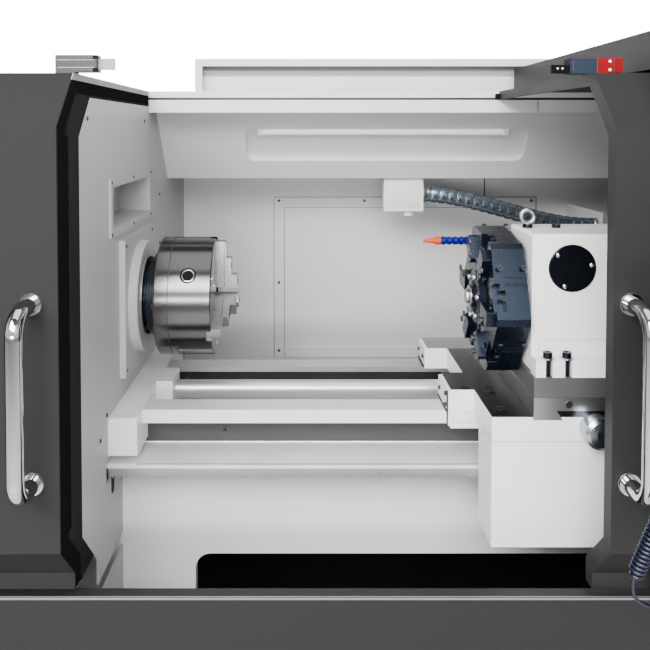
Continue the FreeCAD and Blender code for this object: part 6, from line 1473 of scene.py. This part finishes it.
@dataclass
class OuterPanels:
    """Seams, vents, covers and fasteners on the outside of the enclosure and the base."""

    half: float = 1.120
    sill: float = 0.738
    roof: float = 1.547
    back_face: float = deep(0.683)
    base_face: float = deep(-0.457)
    hood_face: float = deep(-0.560)
    vent_pitch: float = 0.034

    def seams(self) -> None:
        """Joint lines between the sheet-metal panels."""
        back, half = self.back_face, self.half
        boxes = [((x, back - 0.0002, self.sill + 0.010), (x + 0.002, back + 0.0004,
                                                          self.roof - 0.010))
                 for x in (-0.800, 0.780)]
        boxes += [((-1.119, back - 0.0002, self.sill), (1.119, back + 0.0005, self.sill + 0.002))]
        boxes += [((half - 0.0002, y, self.sill + 0.012), (half + 0.0004, y + 0.002,
                                                           self.roof - 0.020))
                  for y in deeps(-0.020, 0.400)]
        bars("panel_seams", boxes, "line", "dark_paint")

    def right_end(self) -> None:
        """Service panel and louvres on the right end, and the base's end panels."""
        x, panel = self.half, 0.0025
        fix("right_service_panel", plate(0.360, 0.480, panel, 0.012, 0.0012), Side.RIGHT,
            [(x, deep(0.200), 1.060)], "dark", "dark_paint")
        fix("right_panel_screws", hexagon_head(0.0065, 0.004), Side.RIGHT,
            product([x + panel], deeps(0.040, 0.360), (0.840, 1.060, 1.280)))
        fix("right_louvres", louvre(0.200, 0.018, 0.009), Side.RIGHT,
            [(x + 0.0024, deep(0.200), 0.880 + self.vent_pitch * i) for i in range(9)],
            "dark", "dark_paint")
        ends = Shape()
        for side, sign in ((Side.RIGHT, 1), (Side.LEFT, -1)):
            ends.add(plate(0.620, 0.400, panel, 0.012, 0.0012),
                     side.at(sign * x, deep(0.180), 0.470))
        fit("base_end_panels", ends, "dark", "dark_paint")
        for name, side, sign in (("right", Side.RIGHT, 1), ("left", Side.LEFT, -1)):
            fix(f"{name}_base_screws", hexagon_head(0.0065, 0.004), side,
                product([sign * (x + panel)], deeps(-0.105, 0.180, 0.465), (0.290, 0.650)))

    def left_end(self) -> None:
        """Rim of the bar opening, vent hoods and screws on the left end."""
        rim = closed((0.0, 0.0460), (0.0, 0.0600), (0.0030, 0.0590), (0.0042, 0.0520),
                     (0.0030, 0.0462), steps=56)
        fix("bar_opening_rim", rim, Side.LEFT, [(-self.half, AXIS_Y, AXIS_Z)],
            "steel", "ground_steel")
        fix("left_vent_hoods", louvre(0.300, 0.014, 0.010), Side.LEFT,
            [(-self.half, deep(0.220), self.sill + 0.127 + self.vent_pitch * i)
             for i in range(12)], "dark", "dark_paint")
        fix("left_cover_screws", hexagon_head(0.0060, 0.004), Side.LEFT,
            product([-self.half], deeps(-0.330, 0.020, 0.420, 0.640), (0.780, 1.500)))

    def front(self) -> None:
        """Base seams, base doors with their latches and the hood's screws."""
        y = self.base_face
        bars("base_seams", [((x, y - 0.0004, 0.215), (x + 0.002, y + 0.0002, 0.640))
                            for x in (-0.560, 0.560)], "line", "dark_paint")
        doors, latches = Shape(), Shape()
        for x, width in ((-0.840, 0.440), (0.840, 0.440), (0.0, 0.960)):
            doors.add(plate(width, 0.390, 0.0028, 0.014, 0.0014), Side.FRONT.at(x, y, 0.445))
        fit("base_doors", doors, "dark", "dark_paint")
        for x in (-0.650, 0.650, -0.440, 0.440):
            latches.add(lathe([(0.0, 0.0), (0.0, 0.013), (0.0015, 0.013), (0.0030, 0.011),
                               (0.0030, 0.0)], 28), Side.FRONT.at(x, y - 0.0028, 0.590))
            latches.add(plate(0.0035, 0.018, 0.0025, 0.001, 0.0006),
                        Side.FRONT.at(x, y - 0.0058, 0.590))
        fit("base_latches", latches, "steel", "chrome")
        fix("hood_screws", hexagon_head(0.0055, 0.0035), Side.FRONT,
            product((0.470, 1.090), [self.hood_face], (0.880, 1.460)))

    def back(self) -> None:
        """Louvres, service covers and cable entries at the back."""
        y = self.back_face
        fix("back_louvres", louvre(0.220, 0.018, 0.010), Side.BACK,
            [(x, y, 0.860 + self.vent_pitch * i) for x in (-0.960, 0.640) for i in range(8)],
            "dark", "dark_paint")
        fix("back_base_panels", plate(0.800, 0.440, 0.0028, 0.014, 0.0014), Side.BACK,
            product((-0.600, 0.600), [y], [0.440]), "dark", "dark_paint")
        fix("back_base_screws", hexagon_head(0.0065, 0.004), Side.BACK,
            product((-0.970, -0.230, 0.230, 0.970), [y + 0.0028], (0.250, 0.630)))
        gland = lathe([(0.0, 0.0), (0.0, 0.016), (0.006, 0.016), (0.007, 0.013), (0.020, 0.012),
                       (0.022, 0.009), (0.022, 0.0)], 24)
        fix("cable_glands", gland, Side.BACK, [(0.560 + 0.050 * i, y, 0.820) for i in range(4)],
            "rubber", "rubber")

    def top(self) -> None:
        """Lifting eyes, roof screws and the rim of the roof box's lid."""
        eyes = Shape()
        for x in (-1.030, 1.030):
            eyes.add(lathe([(0.0, 0.0), (0.0, 0.017), (0.006, 0.017), (0.008, 0.011),
                            (0.008, 0.0)], 28), Side.TOP.at(x, deep(0.600), self.roof))
            eyes.add(torus(0.016, 0.0045), Side.FRONT.at(x, deep(0.600), self.roof + 0.026))
        fit("lifting_eyes", eyes, "steel", "ground_steel")
        fix("roof_bolts", hexagon_head(0.0055, 0.0035), Side.TOP,
            product((-0.440, -0.020, 0.400), deeps(0.260, 0.660), [self.roof]))
        fix("roof_box_lid", gasket(0.940, 0.160, 0.010, 0.003, 0.0010), Side.TOP,
            [(0.0875, deep(0.4453), 1.6628)], "grey_line", "light_paint")

    def feet(self) -> None:
        """Nuts and rubber pads of the levelling feet."""
        across, along = (-1.030, 0.0, 1.030), deeps(-0.327, 0.593)
        pad = lathe([(0.0, 0.0), (0.0, 0.0420), (0.0080, 0.0425), (0.0100, 0.0400), (0.0100, 0.0)],
                    40)
        fix("foot_nuts", hexagon_head(0.0235, 0.012), Side.TOP, product(across, along, [0.0220]),
            "steel", "ground_steel")
        fix("foot_pads", pad, Side.TOP, product(across, along, [0.0]), "rubber", "rubber")

    def build(self) -> None:
        """All sides."""
        self.seams()
        self.right_end()
        self.left_end()
        self.front()
        self.back()
        self.top()
        self.feet()


@dataclass
class ElectricalCabinet:
    """Fine parts of the cabinet on the back: latch slots, louvres, door rib and roof glands."""

    x: Tuple[float, float] = (-0.420, 0.380)
    z: Tuple[float, float] = (0.760, 1.500)
    door_face: float = deep(0.849)

    def build(self) -> None:
        """Door details ride on the door, the others on the machine."""
        (left, right), (foot, top), back = self.x, self.z, self.door_face
        middle, lid = (left + right) / 2, "cabinet_lid"
        fix("latch_slots", plate(0.006, 0.022, 0.0030, 0.002, 0.0008), Side.BACK,
            product([left + 0.030], [back + 0.006], (foot + 0.160, top - 0.160)),
            "steel", "chrome", lid)
        fix("cabinet_louvres", louvre(0.260, 0.018, 0.0065), Side.BACK,
            [(middle, back, z + 0.030 * i) for z in (foot + 0.080, top - 0.260)
             for i in range(6)], "dark", "dark_paint", lid)
        fix("cabinet_door_rib", gasket(0.740, 0.680, 0.020, 0.006, 0.0012), Side.BACK,
            [(middle, back, (foot + top) / 2)], "dark", "dark_paint", lid)
        gland = lathe([(0.0, 0.0), (0.0, 0.013), (0.005, 0.013), (0.006, 0.0105),
                       (0.017, 0.0095), (0.018, 0.0)], 20)
        fix("cabinet_glands", gland, Side.TOP,
            [(-0.200 + 0.060 * i, deep(0.765), top) for i in range(5)], "rubber", "rubber")


@dataclass
class RightRail:
    """End block of the right door's rail."""

    low: Point = (0.3350, deep(0.1480), 1.5500)
    high: Point = (0.3452, deep(0.1570), 1.5620)

    def build(self) -> None:
        """The rail stop."""
        bars("right_rail_stop", [(self.low, self.high)], "rubber", "rubber", "right_door", 0.001)


# ------------------------------------------------------------------ whole

def dress_frame() -> None:
    """Give every CAD node its finish."""
    for name, thing in frame["nodes"].items():
        finish = FINISHES[name].make()
        for slot in thing.material_slots:
            slot.material = finish
        if not thing.material_slots:
            thing.data.materials.append(finish)


def main() -> None:
    """Build the studio, the cords and every sub-assembly in order."""
    logging.basicConfig(level=logging.INFO, format="%(name)s %(message)s")
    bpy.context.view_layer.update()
    for kit in (
        Studio(), PendantCord(), WorkingSpace(),
        SlidingDoor("left", (-0.932, -0.632), -0.523),
        SlidingDoor("right", (0.495, 0.795), 0.371),
        Interlocks(), Chuck(), BedParts(), CarriageParts(), SlideParts(), Turret(), Conduit(),
        ControlBox(), OuterPanels(), ElectricalCabinet(), RightRail(),
    ):
        kit.build()
    dress_frame()


if __name__ == "__main__":
    main()
